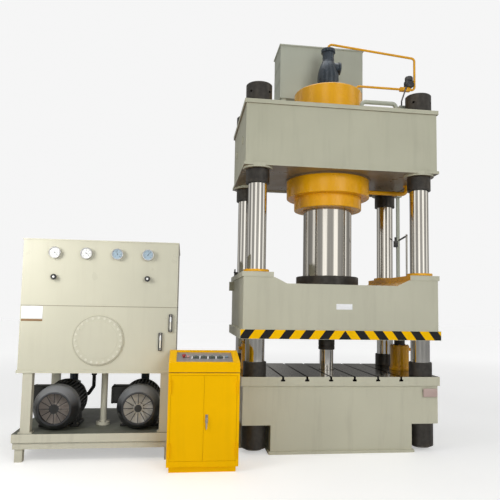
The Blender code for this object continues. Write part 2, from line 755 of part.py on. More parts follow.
def make_crown():
    """Welded crown: a box with a top and a bottom lip, bored for the cylinder and the columns."""
    half_x, half_y = CROWN_WIDTH / 2, CROWN_DEPTH / 2
    lip_x, lip_y = half_x + CROWN_LIP_OVERHANG, half_y + CROWN_LIP_OVERHANG
    crown = box(-half_x, half_x, -half_y, half_y, CROWN_BOTTOM, CROWN_TOP)
    top_lip = box(-lip_x, lip_x, -lip_y, lip_y, CROWN_TOP - CROWN_TOP_LIP, CROWN_TOP)
    bottom_lip = box(-lip_x, lip_x, -lip_y, lip_y, CROWN_BOTTOM, CROWN_BOTTOM + CROWN_BOTTOM_LIP)
    join(crown, top_lip, bottom_lip)
    pocket_x, pocket_y = lip_x - CROWN_POCKET_BORDER, lip_y - CROWN_POCKET_BORDER
    pocket_top = CROWN_BOTTOM + CROWN_POCKET_DEPTH
    pocket = box(-pocket_x, pocket_x, -pocket_y, pocket_y, CROWN_BOTTOM - OVERCUT, pocket_top)
    cut(crown, pocket)
    seat = disc(FLANGE_RADIUS + OVERCUT, CROWN_BOTTOM, pocket_top + OVERCUT, LARGE_FACETS)
    bosses = [
        disc(BOSS_RADIUS, CROWN_BOTTOM - BOSS_HEIGHT, pocket_top + OVERCUT, COLUMN_FACETS, x, y)
        for _, x, y in column_places()
    ]
    join(crown, seat, *bosses)
    low, high = CROWN_BOTTOM - BOSS_HEIGHT - OVERCUT, CROWN_TOP + OVERCUT
    bore = disc(CYLINDER_RADIUS + SEAT_GAP, low, high, LARGE_FACETS)
    cut(crown, bore, *column_bores(COLUMN_RADIUS + SEAT_GAP, low, high))
    name_part(crown, "crown", "grey_cream_paint")


# Main cylinder and ram

def make_main_cylinder():
    """Cylinder hung in the crown by the flange at its mouth, with the prefill port in its head."""
    profile = [
        (VALVE_PORT, CYLINDER_BORE_TOP),
        (CYLINDER_BORE, CYLINDER_BORE_TOP),
        (CYLINDER_BORE, FLANGE_BOTTOM),
        (FLANGE_RADIUS - RING_CHAMFER, FLANGE_BOTTOM),
        (FLANGE_RADIUS, FLANGE_BOTTOM + RING_CHAMFER),
        (FLANGE_RADIUS, FLANGE_BOTTOM + FLANGE_HEIGHT),
        (CYLINDER_RADIUS, FLANGE_BOTTOM + FLANGE_HEIGHT),
        (CYLINDER_RADIUS, CYLINDER_TOP - CYLINDER_EDGE),
        (CYLINDER_RADIUS - CYLINDER_EDGE, CYLINDER_TOP),
        (VALVE_PORT, CYLINDER_TOP),
    ]
    name_part(turned(profile, LARGE_FACETS), "main_cylinder", "amber_paint")


def make_gland():
    """Gland ring that closes the mouth of the cylinder and guides the ram."""
    top = FLANGE_BOTTOM - SEAT_GAP
    bottom = top - GLAND_HEIGHT
    bore = RAM_RADIUS + RUN_GAP
    profile = [
        (bore, bottom),
        (bore + GLAND_LIP, bottom),
        (GLAND_RADIUS - RING_CHAMFER, bottom),
        (GLAND_RADIUS, bottom + RING_CHAMFER),
        (GLAND_RADIUS, top),
        (CYLINDER_BORE - SEAT_GAP, top),
        (CYLINDER_BORE - SEAT_GAP, top + GLAND_SPIGOT),
        (bore, top + GLAND_SPIGOT),
    ]
    name_part(turned(profile, LARGE_FACETS), "cylinder_gland", "amber_paint")


def make_ram():
    """Chromed ram with its piston, standing on the slide."""
    bottom = SLIDE_RECESS_TOP + SEAT_GAP
    piston_bottom = FLANGE_BOTTOM + GLAND_SPIGOT + PISTON_START
    piston_radius = CYLINDER_BORE - RUN_GAP
    profile = [
        (0, bottom), (RAM_RADIUS, bottom), (RAM_RADIUS, piston_bottom), (piston_radius, piston_bottom),
        (piston_radius, piston_bottom + PISTON_HEIGHT), (0, piston_bottom + PISTON_HEIGHT),
    ]
    name_part(turned(profile, LARGE_FACETS), "ram", "chrome")


def make_ram_clamp_ring():
    """Ring that clamps the ram's foot to the slide."""
    low = SLIDE_RECESS_TOP + SEAT_GAP
    high = low + CLAMP_RING_HEIGHT
    bore = RAM_RADIUS + SEAT_GAP
    profile = [
        (bore, low), (CLAMP_RING_RADIUS, low), (CLAMP_RING_RADIUS, high - RING_CHAMFER),
        (CLAMP_RING_RADIUS - RING_CHAMFER, high), (bore, high),
    ]
    name_part(turned(profile, LARGE_FACETS), "ram_clamp_ring", "black_steel")


# Slide

def make_slide():
    """Moving slide: bottom plate, body with raised ears, ear caps and guide bushes."""
    half = SLIDE_WIDTH / 2
    outline = [
        (-half, SLIDE_BOTTOM + SEAT_GAP), (half, SLIDE_BOTTOM + SEAT_GAP),
        (half, SLIDE_EAR_TOP), (SLIDE_EAR_INNER, SLIDE_EAR_TOP),
        (SLIDE_RECESS_HALF, SLIDE_RECESS_TOP), (-SLIDE_RECESS_HALF, SLIDE_RECESS_TOP),
        (-SLIDE_EAR_INNER, SLIDE_EAR_TOP), (-half, SLIDE_EAR_TOP),
    ]
    slide = prism(outline, -SLIDE_DEPTH / 2, SLIDE_DEPTH / 2, "Y")
    plate_x, plate_y = SLIDE_PLATE_WIDTH / 2, SLIDE_PLATE_DEPTH / 2
    pieces = [box(-plate_x, plate_x, -plate_y, plate_y, SLIDE_BOTTOM, SLIDE_BODY_BOTTOM)]
    inner = SLIDE_EAR_INNER + EAR_CAP_STEP
    outer = half + EAR_CAP_OVERHANG
    cap_y = SLIDE_DEPTH / 2 + EAR_CAP_OVERHANG / 2
    for side in (-1, 1):
        x0, x1 = sorted((side * inner, side * outer))
        pieces.append(box(x0, x1, -cap_y, cap_y, SLIDE_EAR_TOP - SEAT_GAP, EAR_CAP_TOP))
    for _, x, y in column_places():
        pieces.append(disc(BUSH_RADIUS, SLIDE_EAR_TOP, EAR_CAP_TOP + BUSH_HEIGHT, COLUMN_FACETS, x, y))
    pieces.append(box(
        -half - SLIDE_LUG_REACH, -half + OVERCUT,
        SLIDE_LUG_Y - SLIDE_LUG_THICKNESS / 2, SLIDE_LUG_Y + SLIDE_LUG_THICKNESS / 2,
        SLIDE_EAR_TOP - SLIDE_LUG_HEIGHT, SLIDE_EAR_TOP - EAR_CAP_STEP,
    ))
    join(slide, *pieces)
    low, high = SLIDE_BOTTOM - OVERCUT, EAR_CAP_TOP + BUSH_HEIGHT + OVERCUT
    cut(slide, *column_bores(COLUMN_RADIUS + RUN_GAP, low, high))
    name_part(slide, "slide", "cream_paint")


# Prefill valve, tank and pipes on the crown

def make_prefill_valve():
    """Prefill valve bolted to the cylinder head, with its pilot neck and a side cover."""
    seat = CYLINDER_TOP + SEAT_GAP
    spigot = VALVE_PORT - VALVE_SPIGOT_FIT
    body = VALVE_BODY_RADIUS
    shoulder = seat + VALVE_BODY_HEIGHT
    cap = VALVE_TOP - VALVE_CAP_HEIGHT
    profile = [
        (0, seat - VALVE_SPIGOT), (spigot, seat - VALVE_SPIGOT), (spigot, seat),
        (VALVE_BASE_RADIUS, seat), (VALVE_BASE_RADIUS, seat + VALVE_BASE_HEIGHT),
        (body * VALVE_FOOT_TAPER, seat + VALVE_BASE_HEIGHT),
    ]
    bulge_low = seat + VALVE_BASE_HEIGHT
    bulge_high = shoulder
    for i in range(1, VALVE_SWELL_STEPS):
        share = i / VALVE_SWELL_STEPS
        swell = math.sin(math.pi * (VALVE_SWELL_START + VALVE_SWELL_SPAN * share))
        profile.append((body * swell, bulge_low + (bulge_high - bulge_low) * share))
    profile += [
        (VALVE_NECK_RADIUS, shoulder), (VALVE_NECK_RADIUS, cap),
        (VALVE_CAP_RADIUS, cap), (VALVE_CAP_RADIUS, VALVE_TOP), (0, VALVE_TOP),
    ]
    valve = turned(profile, COLUMN_FACETS)
    cover = [(0, 0), (VALVE_SIDE_RADIUS, 0), (VALVE_SIDE_RADIUS, VALVE_SIDE_REACH), (0, VALVE_SIDE_REACH)]
    sideways = Matrix.Rotation(math.radians(90), 4, "Y")
    side = turned(cover, SMALL_FACETS, (0, 0, seat + VALVE_SIDE_HEIGHT), sideways)
    join(valve, side)
    name_part(valve, "prefill_valve", "valve_paint")


def make_prefill_tank():
    """Prefill oil tank on four legs behind the valve, with the duct that feeds it."""
    half = PREFILL_WIDTH / 2
    front, rear = PREFILL_FRONT, PREFILL_FRONT + PREFILL_DEPTH
    lip = PREFILL_LIP_OVERHANG
    tank = box(-half, half, front, rear, PREFILL_BOTTOM, PREFILL_TOP)
    pieces = [box(-half - lip, half + lip, front - lip, rear + lip, PREFILL_TOP - PREFILL_LIP, PREFILL_TOP)]
    foot = CROWN_TOP + SEAT_GAP
    leg_rear = min(rear, CROWN_DEPTH / 2) - PREFILL_LEG_INSET
    for side in (-1, 1):
        outer = side * (half - PREFILL_LEG_INSET)
        x0, x1 = sorted((outer, outer - side * PREFILL_LEG))
        pieces.append(box(x0, x1, front + PREFILL_LEG_INSET, front + PREFILL_LEG_INSET + PREFILL_LEG,
                          foot, PREFILL_BOTTOM + OVERCUT))
        pieces.append(box(x0, x1, leg_rear - PREFILL_LEG, leg_rear, foot, PREFILL_BOTTOM + OVERCUT))
    duct_reach = front - VALVE_BODY_RADIUS * 0.9 - SEAT_GAP
    duct = [(0, 0), (DUCT_RADIUS, 0), (DUCT_RADIUS, duct_reach + OVERCUT), (0, duct_reach + OVERCUT)]
    backwards = Matrix.Rotation(math.radians(-90), 4, "X")
    pieces.append(turned(duct, SMALL_FACETS, (0, front - duct_reach, DUCT_HEIGHT), backwards))
    join(tank, *pieces)
    round_valve = disc(VALVE_BODY_RADIUS + SEAT_GAP, CYLINDER_TOP, PREFILL_TOP - PREFILL_LIP, COLUMN_FACETS)
    cut(tank, round_valve)
    name_part(tank, "prefill_tank", "grey_cream_paint")


def make_pilot_pipe():
    """Pilot line: a loop from the cylinder head out to the right and back to the valve's top."""
    start = (PILOT_START_X, PILOT_PLANE_Y, CYLINDER_TOP + SEAT_GAP)
    end_top = VALVE_TOP + SEAT_GAP
    sunk = UNION_HEIGHT / 2
    corners = [
        (start[0], start[1], start[2] + sunk), (PILOT_START_X, PILOT_PLANE_Y, PILOT_LOW),
        (PILOT_END_X, PILOT_PLANE_Y, PILOT_LOW), (PILOT_END_X, PILOT_PLANE_Y, PILOT_HIGH),
        (0, 0, end_top + PILOT_BEND), (0, 0, end_top + sunk),
    ]
    line = pipe(corners, PILOT_RADIUS, PILOT_RADIUS * 3)
    low_union = disc(UNION_RADIUS, start[2], start[2] + UNION_HEIGHT, BUTTON_FACETS, start[0], start[1])
    top_union = disc(UNION_RADIUS, end_top, end_top + UNION_HEIGHT, BUTTON_FACETS)
    half = PILOT_BLOCK_SIZE / 2
    block_end = PILOT_END_X - PILOT_RADIUS * 4
    block = box(
        block_end - PILOT_BLOCK_LENGTH, block_end, PILOT_PLANE_Y - half, PILOT_PLANE_Y + half,
        PILOT_LOW - half, PILOT_LOW + half,
    )
    join(line, low_union, top_union, block)
    name_part(line, "pilot_pipe", "amber_paint")


def make_feed_pipe():
    """Ring-side feed line: out of the cylinder flange to the right, then up to the crown."""
    start = (FLANGE_RADIUS + SEAT_GAP, 0, FEED_HEIGHT)
    top = CROWN_BOTTOM + CROWN_POCKET_DEPTH - SEAT_GAP
    corners = [
        (start[0] + UNION_HEIGHT / 2, 0, FEED_HEIGHT), (FEED_END_X, 0, FEED_HEIGHT),
        (FEED_END_X, 0, top - FOOT_FLANGE_HEIGHT / 2),
    ]
    line = pipe(corners, FEED_RADIUS, FEED_BEND)
    sideways = Matrix.Rotation(math.radians(90), 4, "Y")
    ring = [(0, 0), (FEED_COLLAR, 0), (FEED_COLLAR, UNION_HEIGHT), (0, UNION_HEIGHT)]
    collar = turned(ring, SMALL_FACETS, start, sideways)
    top_collar = disc(FEED_COLLAR, top - FOOT_FLANGE_HEIGHT, top, SMALL_FACETS, FEED_END_X, 0)
    join(line, collar, top_collar)
    name_part(line, "feed_pipe", "amber_paint")


def make_crown_pipe():
    """Short line on the crown's top, turned down into a foot flange at both ends."""
    floor = CROWN_TOP + SEAT_GAP
    height = CROWN_TOP + CROWN_PIPE_RISE
    sunk = floor + FOOT_FLANGE_HEIGHT / 2
    corners = [
        (CROWN_PIPE_START, CROWN_PIPE_Y, sunk), (CROWN_PIPE_START, CROWN_PIPE_Y, height),
        (CROWN_PIPE_END, CROWN_PIPE_Y, height), (CROWN_PIPE_END, CROWN_PIPE_Y, sunk),
    ]
    line = pipe(corners, CROWN_PIPE_RADIUS, CROWN_PIPE_RADIUS * 2)
    feet = [
        disc(CROWN_PIPE_FOOT, floor, floor + FOOT_FLANGE_HEIGHT, SMALL_FACETS, x, CROWN_PIPE_Y)
        for x in (CROWN_PIPE_START, CROWN_PIPE_END)
    ]
    join(line, *feet)
    name_part(line, "crown_pipe", "cream_paint")


# Ejector in the middle of the bed

def make_ejector():
    """Ejector cylinder let into the bed, and its rod, shown fully out."""
    head_top = TABLE_TOP + EJECTOR_STROKE
    head_bottom = head_top - EJECTOR_HEAD_HEIGHT
    body_top = head_bottom - EJECTOR_STROKE - RUN_GAP
    body_bottom = EJECTOR_BASE + SEAT_GAP
    floor = body_bottom + EJECTOR_WALL
    bore_top = body_top - EJECTOR_GLAND
    rod_bore = EJECTOR_ROD_RADIUS + RUN_GAP
    body = [
        (0, body_bottom), (EJECTOR_BODY_RADIUS, body_bottom), (EJECTOR_BODY_RADIUS, body_top),
        (rod_bore, body_top), (rod_bore, bore_top),
        (EJECTOR_BORE, bore_top), (EJECTOR_BORE, floor), (0, floor),
    ]
    name_part(turned(body, LARGE_FACETS), "ejector_cylinder", "black_steel")
    piston_top = bore_top - RUN_GAP
    piston_radius = EJECTOR_BORE - RUN_GAP
    rod = [
        (0, piston_top - EJECTOR_PISTON), (piston_radius, piston_top - EJECTOR_PISTON),
        (piston_radius, piston_top), (EJECTOR_ROD_RADIUS, piston_top), (EJECTOR_ROD_RADIUS, head_bottom),
        (EJECTOR_HEAD_RADIUS, head_bottom), (EJECTOR_HEAD_RADIUS, head_top - COLLAR_CHAMFER),
        (EJECTOR_HEAD_RADIUS - COLLAR_CHAMFER, head_top), (0, head_top),
    ]
    name_part(turned(rod, LARGE_FACETS), "ejector_rod", "chrome")


# Side cushions

def make_dampers():
    """Sprung cushion cylinders that stop the slide, one at each side of the table."""
    low = TABLE_TOP + SEAT_GAP
    top = low + DAMPER_HEIGHT
    floor = low + DAMPER_FLOOR
    bore = PLUNGER_RADIUS + RUN_GAP
    rib = DAMPER_RADIUS + DAMPER_RIB
    half_facet = Matrix.Rotation(math.pi / BUTTON_FACETS, 4, "Z")
    barrel_profile = [
        (0, low), (DAMPER_BASE_RADIUS, low), (DAMPER_BASE_RADIUS, low + DAMPER_BASE_HEIGHT),
        (DAMPER_RADIUS, low + DAMPER_BASE_HEIGHT), (DAMPER_RADIUS, top - DAMPER_BASE_HEIGHT),
        (rib, top - DAMPER_BASE_HEIGHT), (rib, top - COLLAR_CHAMFER), (rib - COLLAR_CHAMFER, top),
        (bore, top), (bore, floor), (0, floor),
    ]
    plunger_top = SLIDE_BOTTOM - PLUNGER_REST_GAP
    plunger_bottom = top - PLUNGER_GUIDE
    plunger_profile = [
        (0, plunger_bottom), (PLUNGER_RADIUS, plunger_bottom),
        (PLUNGER_RADIUS, plunger_top - PLUNGER_HEAD_HEIGHT),
        (PLUNGER_HEAD_RADIUS, plunger_top - PLUNGER_HEAD_HEIGHT),
        (PLUNGER_HEAD_RADIUS, plunger_top - COLLAR_CHAMFER),
        (PLUNGER_HEAD_RADIUS - COLLAR_CHAMFER, plunger_top), (0, plunger_top),
    ]
    for side_name, side in (("left", -1), ("right", 1)):
        x = side * DAMPER_X
        barrel = turned(barrel_profile, COLUMN_FACETS, (x, 0, 0))
        outwards = Matrix.Rotation(math.radians(90 * side), 4, "Y") @ half_facet
        root, reach = (bore + DAMPER_RADIUS) / 2, DAMPER_RADIUS + DAMPER_PORT_REACH
        port = [(0, root), (DAMPER_PORT_RADIUS, root), (DAMPER_PORT_RADIUS, reach), (0, reach)]
        fitting = turned(port, BUTTON_FACETS, (x, 0, low + DAMPER_PORT_HEIGHT), outwards)
        join(barrel, fitting)
        name_part(barrel, f"damper_barrel_{side_name}", "amber_paint")
        plunger = turned(plunger_profile, COLUMN_FACETS, (x, 0, 0))
        name_part(plunger, f"damper_plunger_{side_name}", "black_steel", (x, 0, plunger_top))


# Position switch and trip rod

def make_limit_switch():
    """Switch with a standing lever, on a bar between the table's and the crown's right edges."""
    x0, x1 = SWITCH_BAR_X - SWITCH_BAR_WIDTH / 2, SWITCH_BAR_X + SWITCH_BAR_WIDTH / 2
    y0, y1 = SWITCH_BAR_Y - SWITCH_BAR_DEPTH / 2, SWITCH_BAR_Y + SWITCH_BAR_DEPTH / 2
    bar_low = TABLE_TOP - SWITCH_BRACKET_DROP - SWITCH_BRACKET_HEIGHT
    bar_high = CROWN_BOTTOM + CROWN_BOTTOM_LIP
    bar = box(x0, x1, y0, y1, bar_low, bar_high)
    table_side = TABLE_WIDTH / 2 + SEAT_GAP
    crown_side = CROWN_WIDTH / 2 + CROWN_LIP_OVERHANG + SEAT_GAP
    pieces = [
        box(table_side, x1 - WELD, TABLE_DEPTH / 2 - SWITCH_BRACKET_GRIP, y1 - WELD,
            bar_low + WELD, bar_low + SWITCH_BRACKET_HEIGHT),
        box(crown_side, x1 - WELD, TABLE_DEPTH / 2 - SWITCH_BRACKET_GRIP, y1 - WELD,
            bar_high - SWITCH_BRACKET_HEIGHT, bar_high - WELD),
    ]
    body_x1 = x0 + SWITCH_BODY_OVERLAP
    body_x0 = body_x1 - SWITCH_BODY_WIDTH
    body_y1 = y1 - WELD
    body_y0 = body_y1 - SWITCH_BODY_DEPTH
    body_high = SWITCH_HEIGHT + SWITCH_BODY_HEIGHT / 2
    pieces.append(box(body_x0, body_x1, body_y0, body_y1, body_high - SWITCH_BODY_HEIGHT, body_high))
    arm_x = (body_x0 + body_x1 - SWITCH_BODY_OVERLAP) / 2
    arm_y = (body_y0 + body_y1) / 2
    half = SWITCH_ARM_SIZE / 2
    pieces.append(box(arm_x - half, arm_x + half, arm_y - half, arm_y + half,
                      body_high - half, body_high + SWITCH_ARM_HEIGHT))
    join(bar, *pieces)
    name_part(bar, "limit_switch", "dark_plastic")


def make_trip_rod():
    """Rod clamped to the slide's right side, with the arm that trips the switch."""
    side = SLIDE_WIDTH / 2 + SEAT_GAP
    half = TRIP_CLAMP_WIDTH / 2
    rod = disc(TRIP_ROD_RADIUS, TRIP_ROD_BOTTOM, TRIP_ROD_TOP, SMALL_FACETS, TRIP_ROD_X, TRIP_ROD_Y)
    pieces = [
        box(side, TRIP_ROD_X + TRIP_ROD_RADIUS * 2, TRIP_ROD_Y - half, TRIP_ROD_Y + half,
            height - TRIP_CLAMP_HEIGHT / 2, height + TRIP_CLAMP_HEIGHT / 2)
        for height in TRIP_CLAMPS
    ]
    thick = TRIP_ARM_THICKNESS / 2
    far = TRIP_ROD_Y + TRIP_ARM_LENGTH
    top = TRIP_ROD_TOP - TRIP_ROD_RADIUS
    outline = [
        (TRIP_ROD_Y - TRIP_ROD_RADIUS, top - 2 * thick), (far, top - TRIP_ARM_DROP - 2 * thick),
        (far, top - TRIP_ARM_DROP), (TRIP_ROD_Y - TRIP_ROD_RADIUS, top),
    ]
    pieces.append(prism(outline, TRIP_ROD_X - thick, TRIP_ROD_X + thick, "X"))
    join(rod, *pieces)
    name_part(rod, "trip_rod", "chrome")


# Oil tank, valve enclosure and what is mounted on their front

def make_oil_tank():
    """Oil tank with its bottom lip, standing on the stand's posts."""
    tank = box(TANK_LEFT, TANK_RIGHT, TANK_FRONT, TANK_REAR, TANK_BOTTOM, TANK_SEAM)
    over = TANK_LIP_OVERHANG
    lip = box(TANK_LEFT - over, TANK_RIGHT + over, TANK_FRONT - over, TANK_REAR + over,
              TANK_BOTTOM, TANK_BOTTOM + TANK_LIP_HEIGHT)
    join(tank, lip)
    name_part(tank, "oil_tank", "tank_paint")


def make_valve_enclosure():
    """Sheet cover over the control valves, closed, with a folded edge round its top."""
    low = TANK_SEAM + SEAT_GAP
    cover = box(TANK_LEFT, TANK_RIGHT, TANK_FRONT, TANK_REAR, low, TANK_TOP)
    over = ENCLOSURE_LIP / 2
    lip = box(TANK_LEFT - over, TANK_RIGHT + over, TANK_FRONT - over, TANK_REAR + over,
              TANK_TOP - ENCLOSURE_LIP, TANK_TOP)
    join(cover, lip)
    name_part(cover, "valve_enclosure", "tank_paint")


FORWARDS = Matrix.Rotation(math.radians(90), 4, "X")


def make_manhole_cover():
    """Round cover over the tank's cleaning hatch."""
    centre = (MANHOLE_X, TANK_FRONT - SEAT_GAP, MANHOLE_HEIGHT)
    edge = MANHOLE_THICKNESS / 3
    profile = [
        (0, 0), (MANHOLE_RADIUS, 0), (MANHOLE_RADIUS, MANHOLE_THICKNESS - edge),
        (MANHOLE_RADIUS - edge, MANHOLE_THICKNESS), (0, MANHOLE_THICKNESS),
    ]
    name_part(turned(profile, LARGE_FACETS, centre, FORWARDS), "manhole_cover", "tank_paint")


def make_gauges():
    """Four pressure gauges in a row on the enclosure."""
    rim_inner = GAUGE_RADIUS - GAUGE_RIM
    dial = GAUGE_DEPTH - GAUGE_DIAL_DEPTH
    profile = [
        (0, 0), (GAUGE_RADIUS - GAUGE_RIM / 2, 0), (GAUGE_RADIUS - GAUGE_RIM / 2, GAUGE_DEPTH / 2),
        (GAUGE_RADIUS, GAUGE_DEPTH / 2), (GAUGE_RADIUS, GAUGE_DEPTH),
        (rim_inner, GAUGE_DEPTH), (rim_inner, dial), (0, dial),
    ]
    for i in range(GAUGE_COUNT):
        centre = (GAUGE_FIRST_X + i * GAUGE_PITCH, TANK_FRONT - SEAT_GAP, GAUGE_HEIGHT)
        gauge = turned(profile, GAUGE_FACETS, centre, FORWARDS)
        name_part(gauge, f"gauge_{i + 1}", "chrome")


def make_knobs():
    """Fluted knobs of the gauge shut-off valves, under the outer gauges."""
    outline = []
    steps = KNOB_FLUTES * 4
    for i in range(steps):
        angle = math.tau * i / steps
        radius = KNOB_RADIUS * (1 - KNOB_FLUTE_DEPTH + KNOB_FLUTE_DEPTH * math.cos(KNOB_FLUTES * angle))
        outline.append((radius * math.cos(angle), radius * math.sin(angle)))
    last = GAUGE_FIRST_X + (GAUGE_COUNT - 1) * GAUGE_PITCH
    for side_name, x in (("left", GAUGE_FIRST_X), ("right", last)):
        centre = (x, TANK_FRONT - SEAT_GAP, KNOB_HEIGHT)
        grip = prism(outline, KNOB_STEM_LENGTH, KNOB_STEM_LENGTH + KNOB_DEPTH)
        stem = disc(KNOB_STEM, 0.0, KNOB_STEM_LENGTH + KNOB_DEPTH / 2, SMALL_FACETS)
        join(grip, stem)
        shift(grip, Matrix.Translation(centre) @ FORWARDS)
        name_part(grip, f"valve_knob_{side_name}", "dark_plastic", centre)


def make_level_gauges():
    """Two sight gauges at the tank's right edge, the lower one taking over from the upper."""
    for name, inset, lift in LEVEL_INSETS:
        x, height = TANK_RIGHT - inset, TANK_BOTTOM + lift
        half_width, half_length = LEVEL_WIDTH / 2, LEVEL_LENGTH / 2
        front = TANK_FRONT - SEAT_GAP
        gauge = box(x - half_width, x + half_width, front - LEVEL_DEPTH, front,
                    height - half_length, height + half_length)
        window = box(x - half_width / 2, x + half_width / 2, front - LEVEL_DEPTH - OVERCUT,
                     front - LEVEL_DEPTH * 0.7, height - half_length * 0.72, height + half_length * 0.72)
        cut(gauge, window)
        name_part(gauge, f"level_gauge_{name}", "dark_plastic")


def make_tank_stand():
    """Welded stand: feet, two stacked rails, deck plate and four posts under the tank."""
    rail_top = DECK_BOTTOM
    seam = FOOT_HEIGHT + LOWER_RAIL
    stand = box(STAND_LEFT, STAND_RIGHT, STAND_FRONT, STAND_REAR, seam - SEAT_GAP, DECK_TOP)
    inset = RAIL_GROOVE
    lower = box(STAND_LEFT + inset, STAND_RIGHT - inset, STAND_FRONT + inset, STAND_REAR - inset,
                FOOT_HEIGHT, seam)
    hollow = box(STAND_LEFT + RAIL_WIDTH, STAND_RIGHT - RAIL_WIDTH, STAND_FRONT + RAIL_WIDTH,
                 STAND_REAR - RAIL_WIDTH, FOOT_HEIGHT - OVERCUT, rail_top)
    pieces = [lower]
    foot_left = STAND_LEFT + FOOT_INSET
    foot_right = STAND_RIGHT - FOOT_INSET - FOOT_SIZE
    for i in range(FEET_PER_SIDE):
        x = foot_left + (foot_right - foot_left) * i / (FEET_PER_SIDE - 1)
        for y in (STAND_FRONT + inset * 2, STAND_REAR - inset * 2 - FOOT_SIZE):
            pieces.append(box(x, x + FOOT_SIZE, y, y + FOOT_SIZE, 0.0, FOOT_HEIGHT + OVERCUT))
    top = TANK_BOTTOM - SEAT_GAP
    margin = POST_FOOT_MARGIN
    for x in (TANK_LEFT + POST_INSET, TANK_RIGHT - POST_INSET - POST_SIZE):
        for y in (TANK_FRONT, TANK_REAR - POST_SIZE):
            pieces.append(box(x, x + POST_SIZE, y, y + POST_SIZE, DECK_BOTTOM + SEAT_GAP, top))
            pieces.append(box(x - margin, x + POST_SIZE + margin, y, y + POST_SIZE,
                              DECK_BOTTOM + SEAT_GAP, DECK_TOP + POST_FOOT))
    join(stand, *pieces)
    cut(stand, hollow)
    name_part(stand, "tank_stand", "tank_paint")


def make_drain_pipe():
    """Pipe between the motors, from a bolted flange on the deck up to the tank."""
    low, high = DECK_TOP + SEAT_GAP, TANK_BOTTOM - SEAT_GAP
    profile = [
        (0, low), (DRAIN_FLANGE, low), (DRAIN_FLANGE, low + DRAIN_FLANGE_HEIGHT),
        (DRAIN_RADIUS, low + DRAIN_FLANGE_HEIGHT), (DRAIN_RADIUS, high), (0, high),
    ]
    name_part(turned(profile, SMALL_FACETS, (DRAIN_X, DRAIN_Y, 0)), "drain_pipe", "tank_paint")


# Motors, with fins, feet, terminal box and an open fan cowl

def fin_outline():
    """Section of the finned housing: straight fins all round a root circle."""
    points = []
    step = math.tau / FIN_COUNT
    half_fin = step * FIN_SHARE / 2
    for i in range(FIN_COUNT):
        middle = i * step
        half_root = half_fin * FIN_ROOT_SPREAD
        corners = (
            (FIN_ROOT, -half_root), (FIN_RADIUS, -half_fin),
            (FIN_RADIUS, half_fin), (FIN_ROOT, half_root),
        )
        for radius, offset in corners:
            angle = middle + offset
            points.append((radius * math.cos(angle), radius * math.sin(angle)))
    return points


def grille_windows(low, high):
    """One cutter with the openings between the cowl's spokes."""
    bm = bmesh.new()
    arc_steps = 2
    for i in range(GRILLE_SPOKES):
        start = math.tau * i / GRILLE_SPOKES
        end = math.tau * (i + 1) / GRILLE_SPOKES
        outline = []
        for radius, forwards in ((GRILLE_HUB, True), (GRILLE_RADIUS, False)):
            trim = GRILLE_SPOKE_WIDTH / 2 / radius
            angles = [start + trim + (end - start - 2 * trim) * k / arc_steps for k in range(arc_steps + 1)]
            if not forwards:
                angles.reverse()
            outline += [(radius * math.cos(a), radius * math.sin(a)) for a in angles]
        face = bm.faces.new([bm.verts.new((x, y, low)) for x, y in outline])
        grown = bmesh.ops.extrude_face_region(bm, geom=[face])
        moved = [item for item in grown["geom"] if isinstance(item, bmesh.types.BMVert)]
        bmesh.ops.translate(bm, verts=moved, vec=(0, 0, high - low))
    return loose(bm)


def make_motor(side_name, x):
    """One motor. It is built with its axis along Z and its top along Y, then laid down."""
    body = prism(fin_outline(), FIN_START, BODY_END)
    bell = turned(
        [(0, 0), (BELL_RADIUS, 0), (BELL_RADIUS, BELL_FLANGE), (END_BELL_RADIUS, FIN_START - BELL_CHAMFER),
         (END_BELL_RADIUS, FIN_START + OVERCUT), (0, FIN_START + OVERCUT)],
        LARGE_FACETS // 2,
    )
    cowl_back = MOTOR_LENGTH - COWL_LENGTH
    cowl = turned(
        [(0, cowl_back), (COWL_RADIUS, cowl_back), (COWL_RADIUS, MOTOR_LENGTH - COWL_SLOPE),
         (COWL_FACE, MOTOR_LENGTH), (0, MOTOR_LENGTH)],
        COWL_FACETS,
    )
    inner_end = MOTOR_LENGTH - COWL_WALL
    hollow = turned(
        [(0, BODY_END), (COWL_RADIUS - COWL_WALL, BODY_END),
         (COWL_RADIUS - COWL_WALL, inner_end - COWL_SLOPE),
         (COWL_FACE - COWL_WALL, inner_end), (0, inner_end)],
        COWL_FACETS,
    )
    cut(cowl, hollow)
    cut(cowl, grille_windows(inner_end - OVERCUT / 2, MOTOR_LENGTH + OVERCUT))
    half = MOTOR_FOOT_WIDTH / 2
    pieces = [bell, cowl]
    foot_end = MOTOR_FOOT_START + MOTOR_FOOT_LENGTH
    floor = SEAT_GAP - MOTOR_AXIS_HEIGHT
    for side in (-1, 1):
        middle = side * (MOTOR_FOOT_SPAN - half)
        pieces.append(box(middle - half, middle + half, floor, floor + MOTOR_FOOT_HEIGHT,
                          MOTOR_FOOT_START, foot_end))
        pieces.append(box(middle - MOTOR_WEB / 2, middle + MOTOR_WEB / 2, floor + MOTOR_FOOT_HEIGHT / 2,
                          -FIN_ROOT / 2, MOTOR_FOOT_START + WELD, foot_end - WELD))
    pieces.append(box(-TERMINAL_REACH, -FIN_ROOT / 2, TERMINAL_LOW, TERMINAL_LOW + TERMINAL_HEIGHT,
                      TERMINAL_START, TERMINAL_START + TERMINAL_LENGTH))
    join(body, *pieces)
    shaft_bore = disc(SHAFT_RADIUS + SHAFT_FIT, BODY_END - SHAFT_DEPTH, BODY_END + OVERCUT, COLUMN_FACETS)
    cut(body, shaft_bore)
    shift(body, Matrix.Translation((x, MOTOR_REAR, MOTOR_AXIS)) @ FORWARDS)
    name_part(body, f"motor_{side_name}", "motor_paint")


